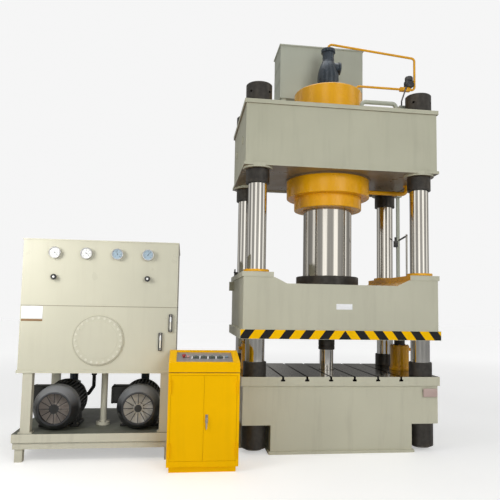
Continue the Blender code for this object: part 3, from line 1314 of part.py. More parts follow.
def make_fan(side_name, x):
    """Cooling fan on the motor's shaft end, inside the cowl."""
    shaft_start = BODY_END - SHAFT_DEPTH + RUN_GAP
    fan = turned(
        [(0, shaft_start), (SHAFT_RADIUS, shaft_start), (SHAFT_RADIUS, FAN_START), (FAN_RADIUS, FAN_START),
         (FAN_RADIUS, FAN_START + FAN_DISC), (FAN_HUB_RADIUS, FAN_START + FAN_DISC),
         (FAN_HUB_RADIUS, FAN_START + FAN_DEPTH), (0, FAN_START + FAN_DEPTH)],
        COLUMN_FACETS,
    )
    blades = []
    for i in range(FAN_BLADES):
        blade = box(FAN_HUB_RADIUS - FAN_BLADE, FAN_RADIUS - FAN_BLADE, -FAN_BLADE / 2, FAN_BLADE / 2,
                    FAN_START + FAN_DISC / 2, FAN_START + FAN_DEPTH * 0.9)
        blades.append(shift(blade, Matrix.Rotation(math.tau * (i + 0.5) / FAN_BLADES, 4, "Z")))
    join(fan, *blades)
    place = (x, MOTOR_REAR, MOTOR_AXIS)
    shift(fan, Matrix.Translation(place) @ FORWARDS)
    name_part(fan, f"motor_fan_{side_name}", "panel_grey", place)


def make_pump(side_name, x):
    """Pump on its bell housing behind the motor, with the suction riser up to the tank."""
    low = MOTOR_REAR + SEAT_GAP
    neck = BELL_LENGTH - BELL_FLANGE
    profile = [
        (0, 0), (BELL_RADIUS, 0), (BELL_RADIUS, BELL_FLANGE), (BELL_RADIUS * 0.8, BELL_FLANGE),
        (BELL_NECK, neck), (PUMP_RADIUS, neck), (PUMP_RADIUS, neck + PUMP_LENGTH),
        (PUMP_CAP_RADIUS, neck + PUMP_LENGTH), (PUMP_CAP_RADIUS, neck + PUMP_LENGTH + PUMP_CAP_LENGTH),
        (0, neck + PUMP_LENGTH + PUMP_CAP_LENGTH),
    ]
    backwards = Matrix.Rotation(math.radians(-90), 4, "X")
    pump = turned(profile, COLUMN_FACETS, (x, low, MOTOR_AXIS), backwards)
    riser_y = low + neck + SUCTION_FROM_BELL
    top = TANK_BOTTOM - SEAT_GAP
    flange = PUMP_CAP_LENGTH / 2
    riser = disc(SUCTION_RADIUS, MOTOR_AXIS, top - flange / 2, SMALL_FACETS, x, riser_y)
    top_flange = disc(SUCTION_FLANGE, top - flange, top, SMALL_FACETS, x, riser_y)
    seat = MOTOR_AXIS + PUMP_RADIUS - flange / 2
    low_flange = disc(SUCTION_FLANGE, seat, seat + flange * 1.5, SMALL_FACETS, x, riser_y)
    join(pump, riser, top_flange, low_flange)
    name_part(pump, f"pump_{side_name}", "valve_paint")


# Control console

def desk_block(x0, x1, front, rear, low, high):
    """A block in the sloped desk's own frame: along the desk, up the slope and out of it."""
    return shift(box(x0, x1, front, rear, low, high), DESK_FRAME)


def desk_point(x, run, height=0.0):
    """A point of the sloped desk in world coordinates."""
    return DESK_FRAME @ Vector((x, run, height))


def make_console():
    """Console cabinet: plinth, open-fronted body, stepped fascia and sloped desk."""
    front = CONSOLE_FRONT + CONSOLE_FASCIA_STEP
    rear_flat = CONSOLE_REAR - CONSOLE_REAR_FLAT
    outline = [
        (front, CONSOLE_PLINTH), (CONSOLE_REAR, CONSOLE_PLINTH), (CONSOLE_REAR, CONSOLE_REAR_TOP),
        (rear_flat, CONSOLE_REAR_TOP), (CONSOLE_FRONT, CONSOLE_FASCIA_TOP), (CONSOLE_FRONT, CONSOLE_SHOULDER),
        (front, CONSOLE_SHOULDER),
    ]
    cabinet = prism(outline, CONSOLE_LEFT, CONSOLE_RIGHT, "X")
    inset = CONSOLE_PLINTH_INSET
    plinth = box(CONSOLE_LEFT + inset, CONSOLE_RIGHT - inset, CONSOLE_FRONT + inset, CONSOLE_REAR - inset,
                 0.0, CONSOLE_PLINTH + CONSOLE_WALL / 2)
    fixed_barrels = []
    for hinge_x, side in ((CONSOLE_LEFT + DOOR_SIDE_MARGIN, -1), (CONSOLE_RIGHT - DOOR_SIDE_MARGIN, 1)):
        for centre in hinge_heights():
            fixed_barrels.append(hinge_half(hinge_x, front, centre - HINGE_LENGTH, side))
    join(cabinet, plinth)
    inside = box(CONSOLE_LEFT + CONSOLE_WALL, CONSOLE_RIGHT - CONSOLE_WALL, front + CONSOLE_FRAME,
                 CONSOLE_REAR - CONSOLE_WALL, DOOR_BOTTOM - CONSOLE_FRAME, CONSOLE_SHOULDER - CONSOLE_WALL)
    opening = box(CONSOLE_LEFT + DOOR_SIDE_MARGIN, CONSOLE_RIGHT - DOOR_SIDE_MARGIN, front - OVERCUT,
                  front + CONSOLE_FRAME + OVERCUT, DOOR_BOTTOM, DOOR_TOP)
    left, right = PANEL_LEFT_MARGIN, CONSOLE_WIDTH - PANEL_RIGHT_MARGIN
    low, high = PANEL_FRONT_MARGIN, DESK_LENGTH - PANEL_REAR_MARGIN
    recess = desk_block(left, right, low, high, -PANEL_RECESS - PANEL_THICKNESS - SEAT_GAP, OVERCUT)
    ledge = PANEL_LEDGE
    well = desk_block(left + ledge, right - ledge, low + ledge, high - ledge, -PANEL_WELL - PANEL_RECESS,
                      -PANEL_RECESS)
    cut(cabinet, inside, opening, recess, well)
    join(cabinet, *fixed_barrels)
    name_part(cabinet, "console_cabinet", "console_paint")


def hinge_heights():
    """Heights at which a door's half of each hinge starts."""
    return (DOOR_BOTTOM + HINGE_INSET, DOOR_TOP - HINGE_INSET)


def hinge_half(hinge_x, front, low, leaf_side):
    """One knuckle and its leaf, standing off the console's front."""
    y = front - HINGE_STANDOFF
    barrel = disc(HINGE_RADIUS, low, low + HINGE_LENGTH - SEAT_GAP, BUTTON_FACETS, hinge_x, y)
    x0, x1 = sorted((hinge_x, hinge_x + leaf_side * HINGE_REACH))
    leaf = box(x0, x1, front - HINGE_LEAF, front + WELD, low, low + HINGE_LENGTH - SEAT_GAP)
    web = box(hinge_x - HINGE_LEAF / 2, hinge_x + HINGE_LEAF / 2, y, front - HINGE_LEAF / 2,
              low, low + HINGE_LENGTH - SEAT_GAP)
    return join(barrel, leaf, web)


def make_door(side_name, side):
    """One folded-sheet door with a returned rim, hinged at the console's outer edge."""
    front = CONSOLE_FRONT + CONSOLE_FASCIA_STEP
    edge = CONSOLE_LEFT + DOOR_SIDE_MARGIN if side < 0 else CONSOLE_RIGHT - DOOR_SIDE_MARGIN
    middle = (CONSOLE_LEFT + CONSOLE_RIGHT) / 2
    x0, x1 = sorted((edge - side * DOOR_GAP, middle + side * DOOR_GAP / 2))
    low, high = DOOR_BOTTOM + DOOR_GAP, DOOR_TOP - DOOR_GAP
    door = box(x0, x1, front, front + DOOR_THICKNESS, low, high)
    pan = box(x0 + DOOR_RIM, x1 - DOOR_RIM, front + DOOR_SKIN, front + DOOR_THICKNESS + OVERCUT,
              low + DOOR_RIM, high - DOOR_RIM)
    cut(door, pan)
    pieces = []
    for start in hinge_heights():
        pieces.append(hinge_half(edge, front, start, -side))
    if side > 0:
        plate_x = x0 + HANDLE_X_MARGIN
        half = HANDLE_PLATE_WIDTH / 2
        pieces.append(box(plate_x - half, plate_x + half, front - HANDLE_PLATE_DEPTH, front + WELD,
                          HANDLE_HEIGHT - HANDLE_PLATE_HEIGHT / 2, HANDLE_HEIGHT + HANDLE_PLATE_HEIGHT / 2))
    join(door, *pieces)
    if side > 0:
        bore = [
            (0, -OVERCUT), (HANDLE_SPINDLE + RUN_GAP, -OVERCUT), (HANDLE_SPINDLE + RUN_GAP, OVERCUT * 2),
            (0, OVERCUT * 2),
        ]
        cut(door, turned(bore, SMALL_FACETS, (plate_x, front, HANDLE_HEIGHT), FORWARDS))
    name_part(door, f"console_door_{side_name}", "console_paint", (edge, front - HINGE_STANDOFF, low))


def make_door_handle():
    """Turning door handle: spindle through the door, rose and a hanging lever."""
    front = CONSOLE_FRONT + CONSOLE_FASCIA_STEP
    x = (CONSOLE_LEFT + CONSOLE_RIGHT) / 2 + DOOR_GAP / 2 + HANDLE_X_MARGIN
    face = HANDLE_PLATE_DEPTH + RUN_GAP
    outer = face + HANDLE_STANDOFF
    profile = [
        (0, -DOOR_THICKNESS / 2), (HANDLE_SPINDLE, -DOOR_THICKNESS / 2), (HANDLE_SPINDLE, face),
        (HANDLE_ROSE, face), (HANDLE_ROSE, outer), (0, outer),
    ]
    handle = turned(profile, SMALL_FACETS)
    half = HANDLE_WIDTH / 2
    lever = box(-half, half, -HANDLE_LENGTH, 0, outer - HANDLE_THICKNESS, outer + WELD * 10)
    join(handle, lever)
    place = (x, front, HANDLE_HEIGHT)
    shift(handle, Matrix.Translation(place) @ FORWARDS)
    name_part(handle, "door_handle", "chrome", place)


def make_control_panel():
    """Panel plate let into the sloped desk, with a hole under each button."""
    left, right = PANEL_LEFT_MARGIN + SEAT_GAP, CONSOLE_WIDTH - PANEL_RIGHT_MARGIN - SEAT_GAP
    low, high = PANEL_FRONT_MARGIN + SEAT_GAP, DESK_LENGTH - PANEL_REAR_MARGIN - SEAT_GAP
    panel = box(left, right, low, high, -PANEL_RECESS - PANEL_THICKNESS, -PANEL_RECESS)
    holes = []
    for run in (STOP_PLACE, *BUTTON_PLACES):
        hole = disc(BUTTON_STEM + RUN_GAP, -PANEL_WELL, OVERCUT, BUTTON_FACETS,
                    PANEL_LEFT_MARGIN + run, (low + high) / 2)
        holes.append(hole)
    cut(panel, *holes)
    shift(panel, DESK_FRAME)
    name_part(panel, "control_panel", "panel_grey")


def panel_middle():
    """Distance from the desk's front edge to the line of the buttons."""
    return (PANEL_FRONT_MARGIN + DESK_LENGTH - PANEL_REAR_MARGIN) / 2


def make_button(name, run, cap, cap_height, look):
    """One push button: a stem through the panel under a cap that stands clear of it."""
    surface = -PANEL_RECESS
    under_cap = surface + BUTTON_TRAVEL + SEAT_GAP
    profile = [
        (0, surface - BUTTON_STEM_LENGTH), (BUTTON_STEM, surface - BUTTON_STEM_LENGTH),
        (BUTTON_STEM, under_cap), (cap, under_cap), (cap, under_cap + cap_height * 0.75),
        (cap * 0.8, under_cap + cap_height), (0, under_cap + cap_height),
    ]
    x = PANEL_LEFT_MARGIN + run
    button = turned(profile, BUTTON_FACETS, (x, panel_middle(), 0))
    shift(button, DESK_FRAME)
    name_part(button, name, look, desk_point(x, panel_middle(), surface))


def main():
    clear_scene()
    make_bed()
    make_bolster()
    make_columns()
    make_upper_nuts()
    make_crown()
    make_main_cylinder()
    make_gland()
    make_ram()
    make_ram_clamp_ring()
    make_slide()
    make_prefill_valve()
    make_prefill_tank()
    make_pilot_pipe()
    make_feed_pipe()
    make_crown_pipe()
    make_ejector()
    make_dampers()
    make_limit_switch()
    make_trip_rod()
    make_oil_tank()
    make_valve_enclosure()
    make_manhole_cover()
    make_gauges()
    make_knobs()
    make_level_gauges()
    make_tank_stand()
    make_drain_pipe()
    for side_name, x in MOTOR_X:
        make_motor(side_name, x)
        make_fan(side_name, x)
        make_pump(side_name, x)
    make_console()
    make_door("left", -1)
    make_door("right", 1)
    make_door_handle()
    make_control_panel()
    make_button("emergency_stop", STOP_PLACE, STOP_RADIUS, STOP_HEIGHT, "red_plastic")
    for number, run in enumerate(BUTTON_PLACES, start=1):
        look = "green_plastic" if number % 2 else "dark_plastic"
        make_button(f"push_button_{number}", run, BUTTON_CAP, BUTTON_CAP_HEIGHT, look)


main()
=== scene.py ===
"""Looks of the column press, its oil power unit and its control console."""
import math

import bmesh
import bpy
from mathutils import Matrix, Vector


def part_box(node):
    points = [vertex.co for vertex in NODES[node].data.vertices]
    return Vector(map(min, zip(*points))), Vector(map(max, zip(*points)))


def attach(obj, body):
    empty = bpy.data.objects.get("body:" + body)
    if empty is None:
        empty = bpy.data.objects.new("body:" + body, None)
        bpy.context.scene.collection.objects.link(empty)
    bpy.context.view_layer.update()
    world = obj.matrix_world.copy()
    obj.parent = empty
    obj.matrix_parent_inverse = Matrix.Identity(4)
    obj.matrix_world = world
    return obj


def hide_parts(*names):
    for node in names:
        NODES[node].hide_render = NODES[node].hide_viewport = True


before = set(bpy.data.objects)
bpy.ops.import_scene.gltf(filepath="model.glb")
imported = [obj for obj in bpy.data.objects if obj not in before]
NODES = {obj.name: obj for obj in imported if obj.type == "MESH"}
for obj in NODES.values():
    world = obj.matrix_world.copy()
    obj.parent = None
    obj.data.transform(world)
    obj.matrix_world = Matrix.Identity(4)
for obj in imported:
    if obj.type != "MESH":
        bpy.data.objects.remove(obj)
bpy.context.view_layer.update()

TAU = math.tau
FRONT = Matrix.Rotation(math.radians(90), 4, "X")
REAR = Matrix.Rotation(math.radians(-90), 4, "X")
DOWN = Matrix.Rotation(math.radians(180), 4, "X")
RIGHT = Matrix.Rotation(math.radians(90), 4, "Y")
LEFT = Matrix.Rotation(math.radians(-90), 4, "Y")


# Materials

def feed(tree, node, inputs):
    """Gives a node's inputs plain values or other nodes' outputs."""
    for key, value in inputs.items():
        if isinstance(value, bpy.types.NodeSocket):
            tree.links.new(value, node.inputs[key])
        else:
            node.inputs[key].default_value = value


def add(tree, kind, inputs=None, **settings):
    """Adds a shader node with its settings and its inputs."""
    node = tree.nodes.new("ShaderNode" + kind)
    for key, value in settings.items():
        setattr(node, key, value)
    feed(tree, node, inputs or {})
    return node


class Nodes:
    """A Principled material under construction, with its object coordinates at hand."""

    def __init__(self, name, colour, roughness, metallic=0.0):
        self.material = bpy.data.materials.new(name)
        self.material.use_nodes = True
        self.tree = self.material.node_tree
        self.shader = self.tree.nodes["Principled BSDF"]
        self.paint({"Base Color": (*colour, 1.0), "Roughness": roughness, "Metallic": metallic})
        self.coordinates = add(self.tree, "TexCoord").outputs["Object"]

    def paint(self, inputs):
        feed(self.tree, self.shader, inputs)
        return self.material

    def noise(self, scale, detail=3.0, stretch=(1, 1, 1), rough=0.5):
        vector = add(self.tree, "Mapping", {"Vector": self.coordinates, "Scale": stretch}).outputs["Vector"]
        inputs = {"Vector": vector, "Scale": scale, "Detail": detail, "Roughness": rough}
        return add(self.tree, "TexNoise", inputs).outputs["Fac"]

    def spread(self, value, low, high, to_low=0.0, to_high=1.0):
        inputs = {"Value": value, "From Min": low, "From Max": high, "To Min": to_low, "To Max": to_high}
        return add(self.tree, "MapRange", inputs).outputs["Result"]

    def mix(self, factor, first, second):
        inputs = {0: factor}
        for key, colour in ((6, first), (7, second)):
            inputs[key] = colour if isinstance(colour, bpy.types.NodeSocket) else (*colour, 1.0)
        return add(self.tree, "Mix", inputs, data_type="RGBA").outputs[2]

    def bump(self, height, distance, strength):
        node = add(self.tree, "Bump", {"Height": height, "Distance": distance, "Strength": strength})
        self.paint({"Normal": node.outputs["Normal"]})


def tone(colour, factor):
    return tuple(min(1.0, channel * factor) for channel in colour)


def painted(name, colour, roughness=0.36, grime=(0.16, 0.13, 0.09), dirt=0.14, peel=0.0004, coat=0.08,
            shine=0.4):
    """Sprayed machine paint: slow tone changes, faint runs and stains, and an orange-peel surface."""
    nodes = Nodes(name, colour, roughness)
    broad = nodes.spread(nodes.noise(1.4, 4.0), 0.35, 0.68)
    base = nodes.mix(broad, tone(colour, 0.955), tone(colour, 1.03))
    runs = nodes.spread(nodes.noise(2.2, 6.0, (5.5, 5.5, 0.5), 0.62), 0.5, 0.8, 0.0, dirt)
    base = nodes.mix(runs, base, grime)
    specks = nodes.spread(nodes.noise(95.0, 2.0), 0.7, 0.8, 0.0, dirt * 0.9)
    base = nodes.mix(specks, base, tone(grime, 0.7))
    gloss = nodes.spread(nodes.noise(5.0, 5.0), 0.3, 0.7, roughness - 0.07, roughness + 0.12)
    nodes.bump(nodes.noise(240.0, 2.0), peel, 0.45)
    nodes.paint({"Coat Weight": coat, "Coat Roughness": 0.22, "Specular IOR Level": shine})
    return nodes.paint({"Base Color": base, "Roughness": gloss})


def ground(name, colour, roughness=0.24, stretch=(1.0, 60.0, 60.0), metallic=1.0, stain=0.25):
    """Machined steel: fine marks along one direction and a thin uneven film of oil."""
    nodes = Nodes(name, colour, roughness, metallic)
    marks = nodes.noise(9.0, 5.0, stretch, 0.6)
    film = nodes.spread(nodes.noise(3.2, 6.0, rough=0.6), 0.42, 0.72, 0.0, stain)
    base = nodes.mix(nodes.spread(marks, 0.3, 0.7), tone(colour, 0.88), tone(colour, 1.08))
    gloss = nodes.spread(marks, 0.3, 0.7, roughness - 0.06, roughness + 0.09)
    nodes.bump(marks, 0.0003, 0.25)
    return nodes.paint({"Base Color": nodes.mix(film, base, (0.16, 0.13, 0.09)), "Roughness": gloss})


def polished(name, colour, roughness, band=0.5):
    """Hard-chromed bar: clear reflections, faint upright wipe marks and a little oil haze."""
    nodes = Nodes(name, colour, roughness, 1.0)
    wipes = nodes.noise(30.0, 3.0, (1.0, 1.0, 0.03), 0.55)
    haze = nodes.noise(2.6, 4.0, (1.0, 1.0, 0.5))
    base = nodes.mix(nodes.spread(wipes, 0.35, 0.65, 0.0, band), tone(colour, 1.06), tone(colour, 0.74))
    base = nodes.mix(nodes.spread(haze, 0.45, 0.8, 0.0, 0.22), base, (0.42, 0.36, 0.28))
    gloss = nodes.spread(haze, 0.3, 0.75, roughness - 0.03, roughness + 0.1)
    nodes.bump(wipes, 0.0002, 0.12)
    return nodes.paint({"Base Color": base, "Roughness": gloss})


def cast(name, colour, roughness, metallic, grain, depth, wear):
    """Blackened or cast metal: grainy skin, greasy patches and paler rubbed places."""
    nodes = Nodes(name, colour, roughness, metallic)
    patches = nodes.spread(nodes.noise(6.0, 5.0, rough=0.6), 0.5, 0.75, 0.0, 0.55)
    base = nodes.mix(nodes.spread(nodes.noise(22.0, 4.0), 0.3, 0.7), tone(colour, 0.75), tone(colour, 1.3))
    gloss = nodes.spread(nodes.noise(14.0, 3.0), 0.3, 0.7, roughness - 0.12, roughness + 0.14)
    nodes.bump(nodes.noise(grain, 3.0), depth, 0.5)
    return nodes.paint({"Base Color": nodes.mix(patches, base, wear), "Roughness": gloss})


def moulded(name, colour, roughness=0.4, grain=420.0, coat=0.0):
    """Moulded plastic or rubber: a fine grain, slight dust and uneven gloss."""
    nodes = Nodes(name, colour, roughness)
    dust_and_sheen = nodes.spread(nodes.noise(18.0, 4.0), 0.48, 0.75, 0.0, 0.18)
    gloss = nodes.spread(nodes.noise(40.0, 2.0), 0.3, 0.7, roughness - 0.06, roughness + 0.1)
    nodes.bump(nodes.noise(grain, 1.0), 0.0002, 0.4)
    base = nodes.mix(dust_and_sheen, colour, (0.4, 0.38, 0.33))
    return nodes.paint({"Base Color": base, "Roughness": gloss, "Coat Weight": coat})


def lighten_upward_faces(material, dust_and_sheen):
    """Adds a painted highlight: a paler colour on the faces that look upwards, where the light from above falls.
    """
    tree = material.node_tree
    target = tree.nodes["Principled BSDF"].inputs["Base Color"]
    normal = add(tree, "NewGeometry").outputs["Normal"]
    upward = add(tree, "SeparateXYZ", {"Vector": normal}).outputs["Z"]
    share = add(tree, "MapRange", {"Value": upward, "From Min": 0.05, "From Max": 0.85, "To Max": 0.95})
    inputs = {0: share.outputs["Result"], 6: target.links[0].from_socket, 7: (*dust_and_sheen, 1.0)}
    tree.links.new(add(tree, "Mix", inputs, data_type="RGBA").outputs[2], target)
    return material


CREAM_GRIME = (0.155, 0.11, 0.06)
CROWN = painted("crown_grey_cream", (0.475, 0.465, 0.35), 0.4, dirt=0.15)
# A darker copy of the crown's paint: painted shade for the faces that look down and the well round the cylinder.
CROWN_PAINTED_SHADE = painted("crown_underside_painted_shade", (0.2, 0.145, 0.085), 0.32, (0.12, 0.07, 0.03), 0.05, coat=0.2)
SLIDE = painted("slide_grey_cream", (0.52, 0.505, 0.39), 0.38, dirt=0.13)
BED = painted("bed_grey_cream", (0.55, 0.53, 0.405), 0.42, dirt=0.18)
TANK = painted("tank_cream", (0.58, 0.56, 0.44), 0.34, CREAM_GRIME, 0.07, coat=0.1)
PREFILL = painted("prefill_grey_cream", (0.45, 0.465, 0.38), 0.45)
STAND = painted("stand_grey", (0.56, 0.535, 0.425), 0.46, dirt=0.22)
DECK = painted("deck_dark", (0.135, 0.14, 0.11), 0.5, (0.05, 0.04, 0.03), 0.45)
AMBER = painted("amber_gloss", (0.82, 0.39, 0.004), 0.22, (0.3, 0.11, 0.002), 0.08, 0.0003, 0.12, 0.42)
YELLOW = painted("console_yellow", (0.93, 0.5, 0.0), 0.42, (0.3, 0.14, 0.002), 0.1, 0.0007, 0.0, 0.06)
VALVE = cast("valve_blue_grey", (0.032, 0.044, 0.058), 0.3, 0.3, 120.0, 0.0008, (0.085, 0.1, 0.12))
MOTOR = cast("motor_black", (0.014, 0.014, 0.013), 0.5, 0.1, 170.0, 0.0008, (0.035, 0.033, 0.028))
COWL = cast("cowl_grey", (0.02, 0.021, 0.023), 0.36, 0.1, 260.0, 0.0004, (0.04, 0.04, 0.04))
# The cowl's upward faces get a paler colour: a painted highlight where the light from above falls on the slope.
lighten_upward_faces(COWL, (0.27, 0.275, 0.285))
GUARD = cast("guard_wire", (0.04, 0.04, 0.042), 0.4, 0.5, 260.0, 0.0003, (0.07, 0.07, 0.07))
GRILLE = cast("guard_ring_pale", (0.3, 0.285, 0.25), 0.45, 0.3, 260.0, 0.0004, (0.4, 0.37, 0.31))
BLACK = cast("black_steel", (0.04, 0.036, 0.031), 0.44, 0.4, 90.0, 0.0012, (0.1, 0.08, 0.055))
CHROME = polished("hard_chrome", (0.62, 0.605, 0.57), 0.07)
RAM = polished("ram_chrome", (0.57, 0.55, 0.51), 0.07, 0.6)
STEEL = ground("bright_steel", (0.55, 0.54, 0.51), 0.28)
BEZEL = ground("gauge_bezel", (0.8, 0.8, 0.81), 0.3, (30.0, 30.0, 30.0), 0.9, 0.15)
TABLE = ground("ground_table", (0.26, 0.25, 0.23), 0.17, (60.0, 1.0, 1.0), 1.0, 0.45)
ZINC = ground("zinc_bolts", (0.42, 0.4, 0.36), 0.36, (8.0, 8.0, 8.0), 1.0, 0.5)
COVER_BOLT = painted("cover_bolts", (0.7, 0.68, 0.57), 0.26, CREAM_GRIME, 0.15)
# Dark colour for painted shadow: along the tank's seam and round the manhole lid.
PAINTED_SEAM_SHADOW = moulded("seam_shadow", (0.3, 0.27, 0.2), 0.7)
LIP = moulded("lip_shadow", (0.26, 0.12, 0.002), 0.6)
PANEL = ground("panel_satin", (0.4, 0.375, 0.375), 0.32, (1.0, 50.0, 50.0), 0.5, 0.15)
FAN_BROWN = moulded("fan_brown", (0.34, 0.29, 0.25), 0.5)
# Painted light: a pale colour for the right fan's disc that stands in for light on it inside the cowl's shade.
FAN_DISC_PAINTED_LIGHT = moulded("fan_disc_painted_light", (0.74, 0.7, 0.62), 0.45)
FAN_DARK = moulded("fan_blades_dark", (0.035, 0.03, 0.026), 0.5)
RUBBER = moulded("dark_plastic", (0.022, 0.022, 0.024), 0.42)
# White: the knob centres' own colour, and painted glare on the first two gauge dials.
WHITE_CAP_AND_DIAL_GLARE = moulded("white_cap_and_dial_glare", (0.84, 0.84, 0.81), 0.35, 600.0)
DIAL_BLUE = moulded("dial_blue", (0.36, 0.46, 0.53), 0.3, 600.0)
PLATE = moulded("bare_plate", (0.9, 0.9, 0.91), 0.3, 500.0)
TAG = moulded("tag_white", (0.86, 0.86, 0.84), 0.35, 500.0)
# Dark colour for a painted shadow line at the step in the stand's rail.
RAIL_STEP_SHADOW = moulded("rail_step_painted_shadow", (0.05, 0.045, 0.035), 0.8)
RED = moulded("stop_red", (0.34, 0.01, 0.012), 0.3, 700.0, 0.3)
PINK = moulded("ring_pink", (0.58, 0.3, 0.27), 0.35, 700.0)
BLUE = moulded("button_blue", (0.2, 0.27, 0.33), 0.3, 700.0, 0.2)
GREEN = moulded("button_green_grey", (0.085, 0.115, 0.095), 0.32, 700.0, 0.2)
FRAME_GREEN = moulded("button_frame", (0.055, 0.072, 0.062), 0.4, 700.0)
HAZARD = painted("hazard_yellow", (0.97, 0.54, 0.002), 0.42, (0.2, 0.1, 0.01), coat=0.0, shine=0.06)
INK = painted("hazard_black", (0.013, 0.012, 0.013), 0.5, (0.06, 0.055, 0.05), 0.2, coat=0.0, shine=0.2)
SIGHT = moulded("sight_glass", (0.9, 0.9, 0.88), 0.12, 800.0, 0.5)
SIGHT_OIL = moulded("sight_oil", (0.78, 0.75, 0.64), 0.15, 800.0, 0.5)
BROWN = painted("strip_brown", (0.25, 0.14, 0.06), 0.42)
PINK_PLATE = moulded("plate_pinkish", (0.5, 0.37, 0.33), 0.35, 500.0)


# Mesh helpers

def raw(bm, name="raw"):
    """An object with a bmesh's shape, which uses the bmesh up."""
    bmesh.ops.recalc_face_normals(bm, faces=bm.faces)
    mesh = bpy.data.meshes.new(name)
    bm.to_mesh(mesh)
    bm.free()
    piece = bpy.data.objects.new(name, mesh)
    bpy.context.scene.collection.objects.link(piece)
    return piece


def finish(bm, name, materials, node=None, body="frame", sharp=33, bevel=0.0):
    """Turns a bmesh into a smooth-shaded piece that rides on a body and may stand for a CAD node."""
    piece = raw(bm, name)
    for material in materials if isinstance(materials, list) else [materials]:
        piece.data.materials.append(material)
    piece.data.shade_smooth()
    piece.data.set_sharp_from_angle(angle=math.radians(sharp))
    if bevel:
        round_edges(piece, bevel)
    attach(piece, body)
    if node:
        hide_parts(node)


def round_edges(piece, width, segments=2):
    modifier = piece.modifiers.new("edges", "BEVEL")
    modifier.width = width
    modifier.segments = segments
    modifier.limit_method = "ANGLE"
    modifier.angle_limit = math.radians(35)
    modifier.harden_normals = True
    modifier.use_clamp_overlap = True


def heights(node):
    """A node's lowest and highest Z."""
    return [corner.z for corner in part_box(node)]


def dress(node, material, bevel, segments=2, second=None, where=None):
    """Gives a carried-over node broken edges and its material, and a second one to some faces."""
    piece = NODES[node]
    piece.data.materials.clear()
    piece.data.materials.append(material)
    if second:
        piece.data.materials.append(second)
        for face in piece.data.polygons:
            if where(face):
                face.material_index = 1
    round_edges(piece, bevel, segments)


def drilled(bm, drills):
    """A bmesh with the drills cut out of it by exact Booleans, which uses all of them up."""
    piece = raw(bm)
    cutters = [raw(drill) for drill in drills]
    for cutter in cutters:
        step = piece.modifiers.new("drill", "BOOLEAN")
        step.operation = "DIFFERENCE"
        step.solver = "EXACT"
        step.object = cutter
    bpy.context.view_layer.update()
    graph = bpy.context.evaluated_depsgraph_get()
    bm = bmesh.new()
    bm.from_mesh(bpy.data.meshes.new_from_object(piece.evaluated_get(graph)))
    for item in (piece, *cutters):
        bpy.data.objects.remove(item)
    return bm


def place(at=(0, 0, 0), pose=None):
    matrix = Matrix.Translation(at)
    return matrix @ pose if pose is not None else matrix


def turns(count, offset=0.0):
    """Equal steps of a full turn about the vertical, as matrices."""
    return [Matrix.Rotation(TAU * (i + offset) / count, 4, "Z") for i in range(count)]


def circle_of(count, radius, start=0.0):
    angles = [TAU * i / count + start for i in range(count)]
    return [(radius * math.cos(angle), radius * math.sin(angle)) for angle in angles]


def spin(bm, profile, steps=64, matrix=None, material=0):
    """Adds a closed (radius, height) profile, turned about its own axis."""
    rings = []
    for radius, height in profile:
        points = [(0, 0)] if radius < 1e-6 else circle_of(steps, radius)
        rings.append([bm.verts.new((x, y, height)) for x, y in points])
    for low, high in zip(rings, rings[1:] + rings[:1]):
        if len(low) == 1 and len(high) == 1:
            continue
        for i in range(steps):
            j = (i + 1) % steps
            if len(low) == 1:
                corners = (low[0], high[i], high[j])
            elif len(high) == 1:
                corners = (low[i], low[j], high[0])
            else:
                corners = (low[i], low[j], high[j], high[i])
            bm.faces.new(corners).material_index = material
    if matrix is not None:
        bmesh.ops.transform(bm, matrix=matrix, verts=[vert for circle in rings for vert in circle])


def ring(bm, inner, outer, low, high, steps, matrix=None, material=0, lower=0.0, upper=0.0):
    """Adds a turned ring, or a bar where inner is 0, with its outer edges broken by lower and upper."""
    profile = [(inner, low), (outer - lower, low)]
    if lower:
        profile.append((outer, low + lower))
    if upper:
        profile.append((outer, high - upper))
    spin(bm, profile + [(outer - upper, high), (inner, high)], steps, matrix, material)


def block(bm, x0, x1, y0, y1, z0, z1, matrix=None, material=0, chamfer=0.0):
    """Adds a block, with its edges broken if a chamfer is given."""
    spans = [sorted(pair) for pair in ((x0, x1), (y0, y1), (z0, z1))]
    before = set(bm.faces)
    verts = bmesh.ops.create_cube(bm, size=1.0)["verts"]
    for vert in verts:
        vert.co = Vector([spans[k][vert.co[k] > 0] for k in range(3)])
    if chamfer:
        edges = list({edge for vert in verts for edge in vert.link_edges})
        bmesh.ops.bevel(bm, geom=edges, offset=chamfer, segments=2, profile=0.5, affect="EDGES")
    faces = [face for face in bm.faces if face not in before]
    for face in faces:
        face.material_index = material
    if matrix is not None:
        bmesh.ops.transform(bm, matrix=matrix, verts=list({v for face in faces for v in face.verts}))


def extrude(bm, outline, low, high, matrix=None, material=0):
    """Adds a prism over a flat (x, y) outline, between two heights."""
    bottom = [bm.verts.new((x, y, low)) for x, y in outline]
    top = [bm.verts.new((x, y, high)) for x, y in outline]
    faces = [bottom[::-1], top]
    for i in range(len(outline)):
        faces.append((bottom[i - 1], bottom[i], top[i], top[i - 1]))
    for corners in faces:
        bm.faces.new(corners).material_index = material
    if matrix is not None:
        bmesh.ops.transform(bm, matrix=matrix, verts=bottom + top)


def bolt(bm, at, pose, size, material=0, socket=False):
    """Adds a washer with a chamfered hexagon, or a round head with a socket."""
    matrix = place(at, pose)
    if socket:
        profile = [(0, 0), (1, 0), (1, 0.78), (0.88, 0.9), (0.52, 0.9), (0.5, 0.35), (0, 0.35)]
        spin(bm, [(size * radius, size * height) for radius, height in profile], 20, matrix, material)
    else:
        ring(bm, 0, size * 1.18, 0, size * 0.16, 20, matrix, material)
        extrude(bm, circle_of(6, size * 0.95), size * 0.14, size * 0.72, matrix, material)
        extrude(bm, circle_of(6, size * 0.817), size * 0.71, size * 0.82, matrix, material)


